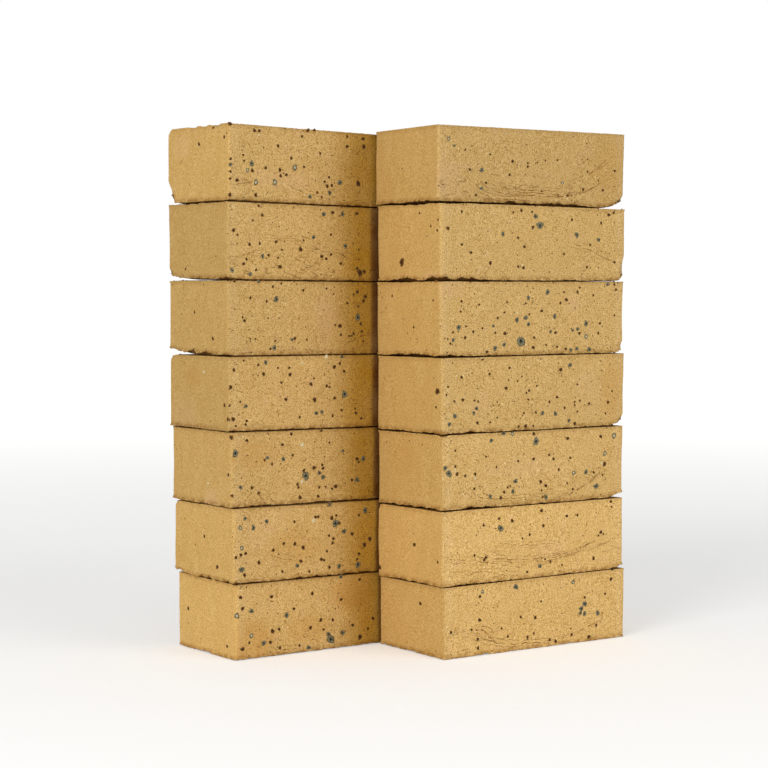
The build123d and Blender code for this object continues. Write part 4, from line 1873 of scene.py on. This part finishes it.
@dataclass
class Studio:
    """The sweep of paper, the soft light and the camera, in metres, degrees and watts."""

    camera_place: Triple = (-1.0228, -1.4879, 0.3207)
    camera_heading: float = 34.10
    camera_dip: float = 2.57
    lens: float = 91.55
    sensor: float = 36.0
    floor_radius: float = 6.0
    dome: float = 0.42
    lamp_size: float = 1.4
    key_place: Triple = (-2.6, -1.3, 1.3)
    key_power: float = 44.0
    fill_place: Triple = (1.0, -2.4, 0.9)
    fill_power: float = 22.0
    aim: Triple = (0.0, 0.0, 0.2)

    def build(self) -> None:
        """Builds the floor, the world, the lamps and the camera."""
        self.build_floor()
        self.build_world()
        self.build_lamp("key", self.key_place, self.key_power)
        self.build_lamp("fill", self.fill_place, self.fill_power)
        self.build_camera()
        bpy.context.scene.view_settings.view_transform = "Standard"

    def build_floor(self) -> None:
        """Lays a round floor that ends well beyond the stack."""
        disc = bmesh.new()
        bmesh.ops.create_circle(disc, cap_ends=True, segments=96, radius=self.floor_radius)
        mesh = fixed("floor", disc)
        mesh.materials.append(Paper().make())
        link("floor", mesh)

    def build_world(self) -> None:
        """Makes the world: a soft dome of light, white where the camera or a reflection sees it."""
        world = bpy.data.worlds.new("studio")
        world.use_nodes = True
        bpy.context.scene.world = world
        g = Graph(world.node_tree)
        both = g.add("ShaderNodeMixShader", Fac=g.shown())
        for socket, strength in zip(both.inputs[1:], (self.dome, 1.0)):
            light = g.add("ShaderNodeBackground", Color=(1.0, 1.0, 1.0, 1.0), Strength=strength)
            g.plug(socket, light.outputs[0])
        g.add("ShaderNodeOutputWorld", Surface=both.outputs[0])

    def build_lamp(self, name: str, place: Triple, power: float) -> None:
        """Hangs one soft lamp that looks at the middle of the stack.

        Args:
            name: the lamp's name.
            place: where it hangs, in metres.
            power: how strong it is, in watts.
        """
        light = bpy.data.lights.new(name, "AREA")
        light.size = self.lamp_size
        light.energy = power
        lamp = link(name, light)
        lamp.location = place
        aim = Vector(self.aim) - Vector(place)
        lamp.rotation_euler = aim.to_track_quat("-Z", "Y").to_euler()

    def build_camera(self) -> None:
        """Sets up the camera where the photograph was taken from."""
        data = bpy.data.cameras.new("camera")
        data.sensor_width = self.sensor
        data.lens = self.lens
        data.clip_start, data.clip_end = 0.1, 50.0
        camera = link("camera", data)
        camera.location = self.camera_place
        angles = (90 - self.camera_dip, 0, -self.camera_heading)
        camera.rotation_euler = Euler([math.radians(angle) for angle in angles])
        bpy.context.scene.camera = camera


def main() -> None:
    """Builds the stack and the studio."""
    logging.basicConfig(level=logging.INFO, format="%(message)s")
    Studio().build()
    Stack().build()
    bpy.context.view_layer.update()


if __name__ == "__main__":
    main()
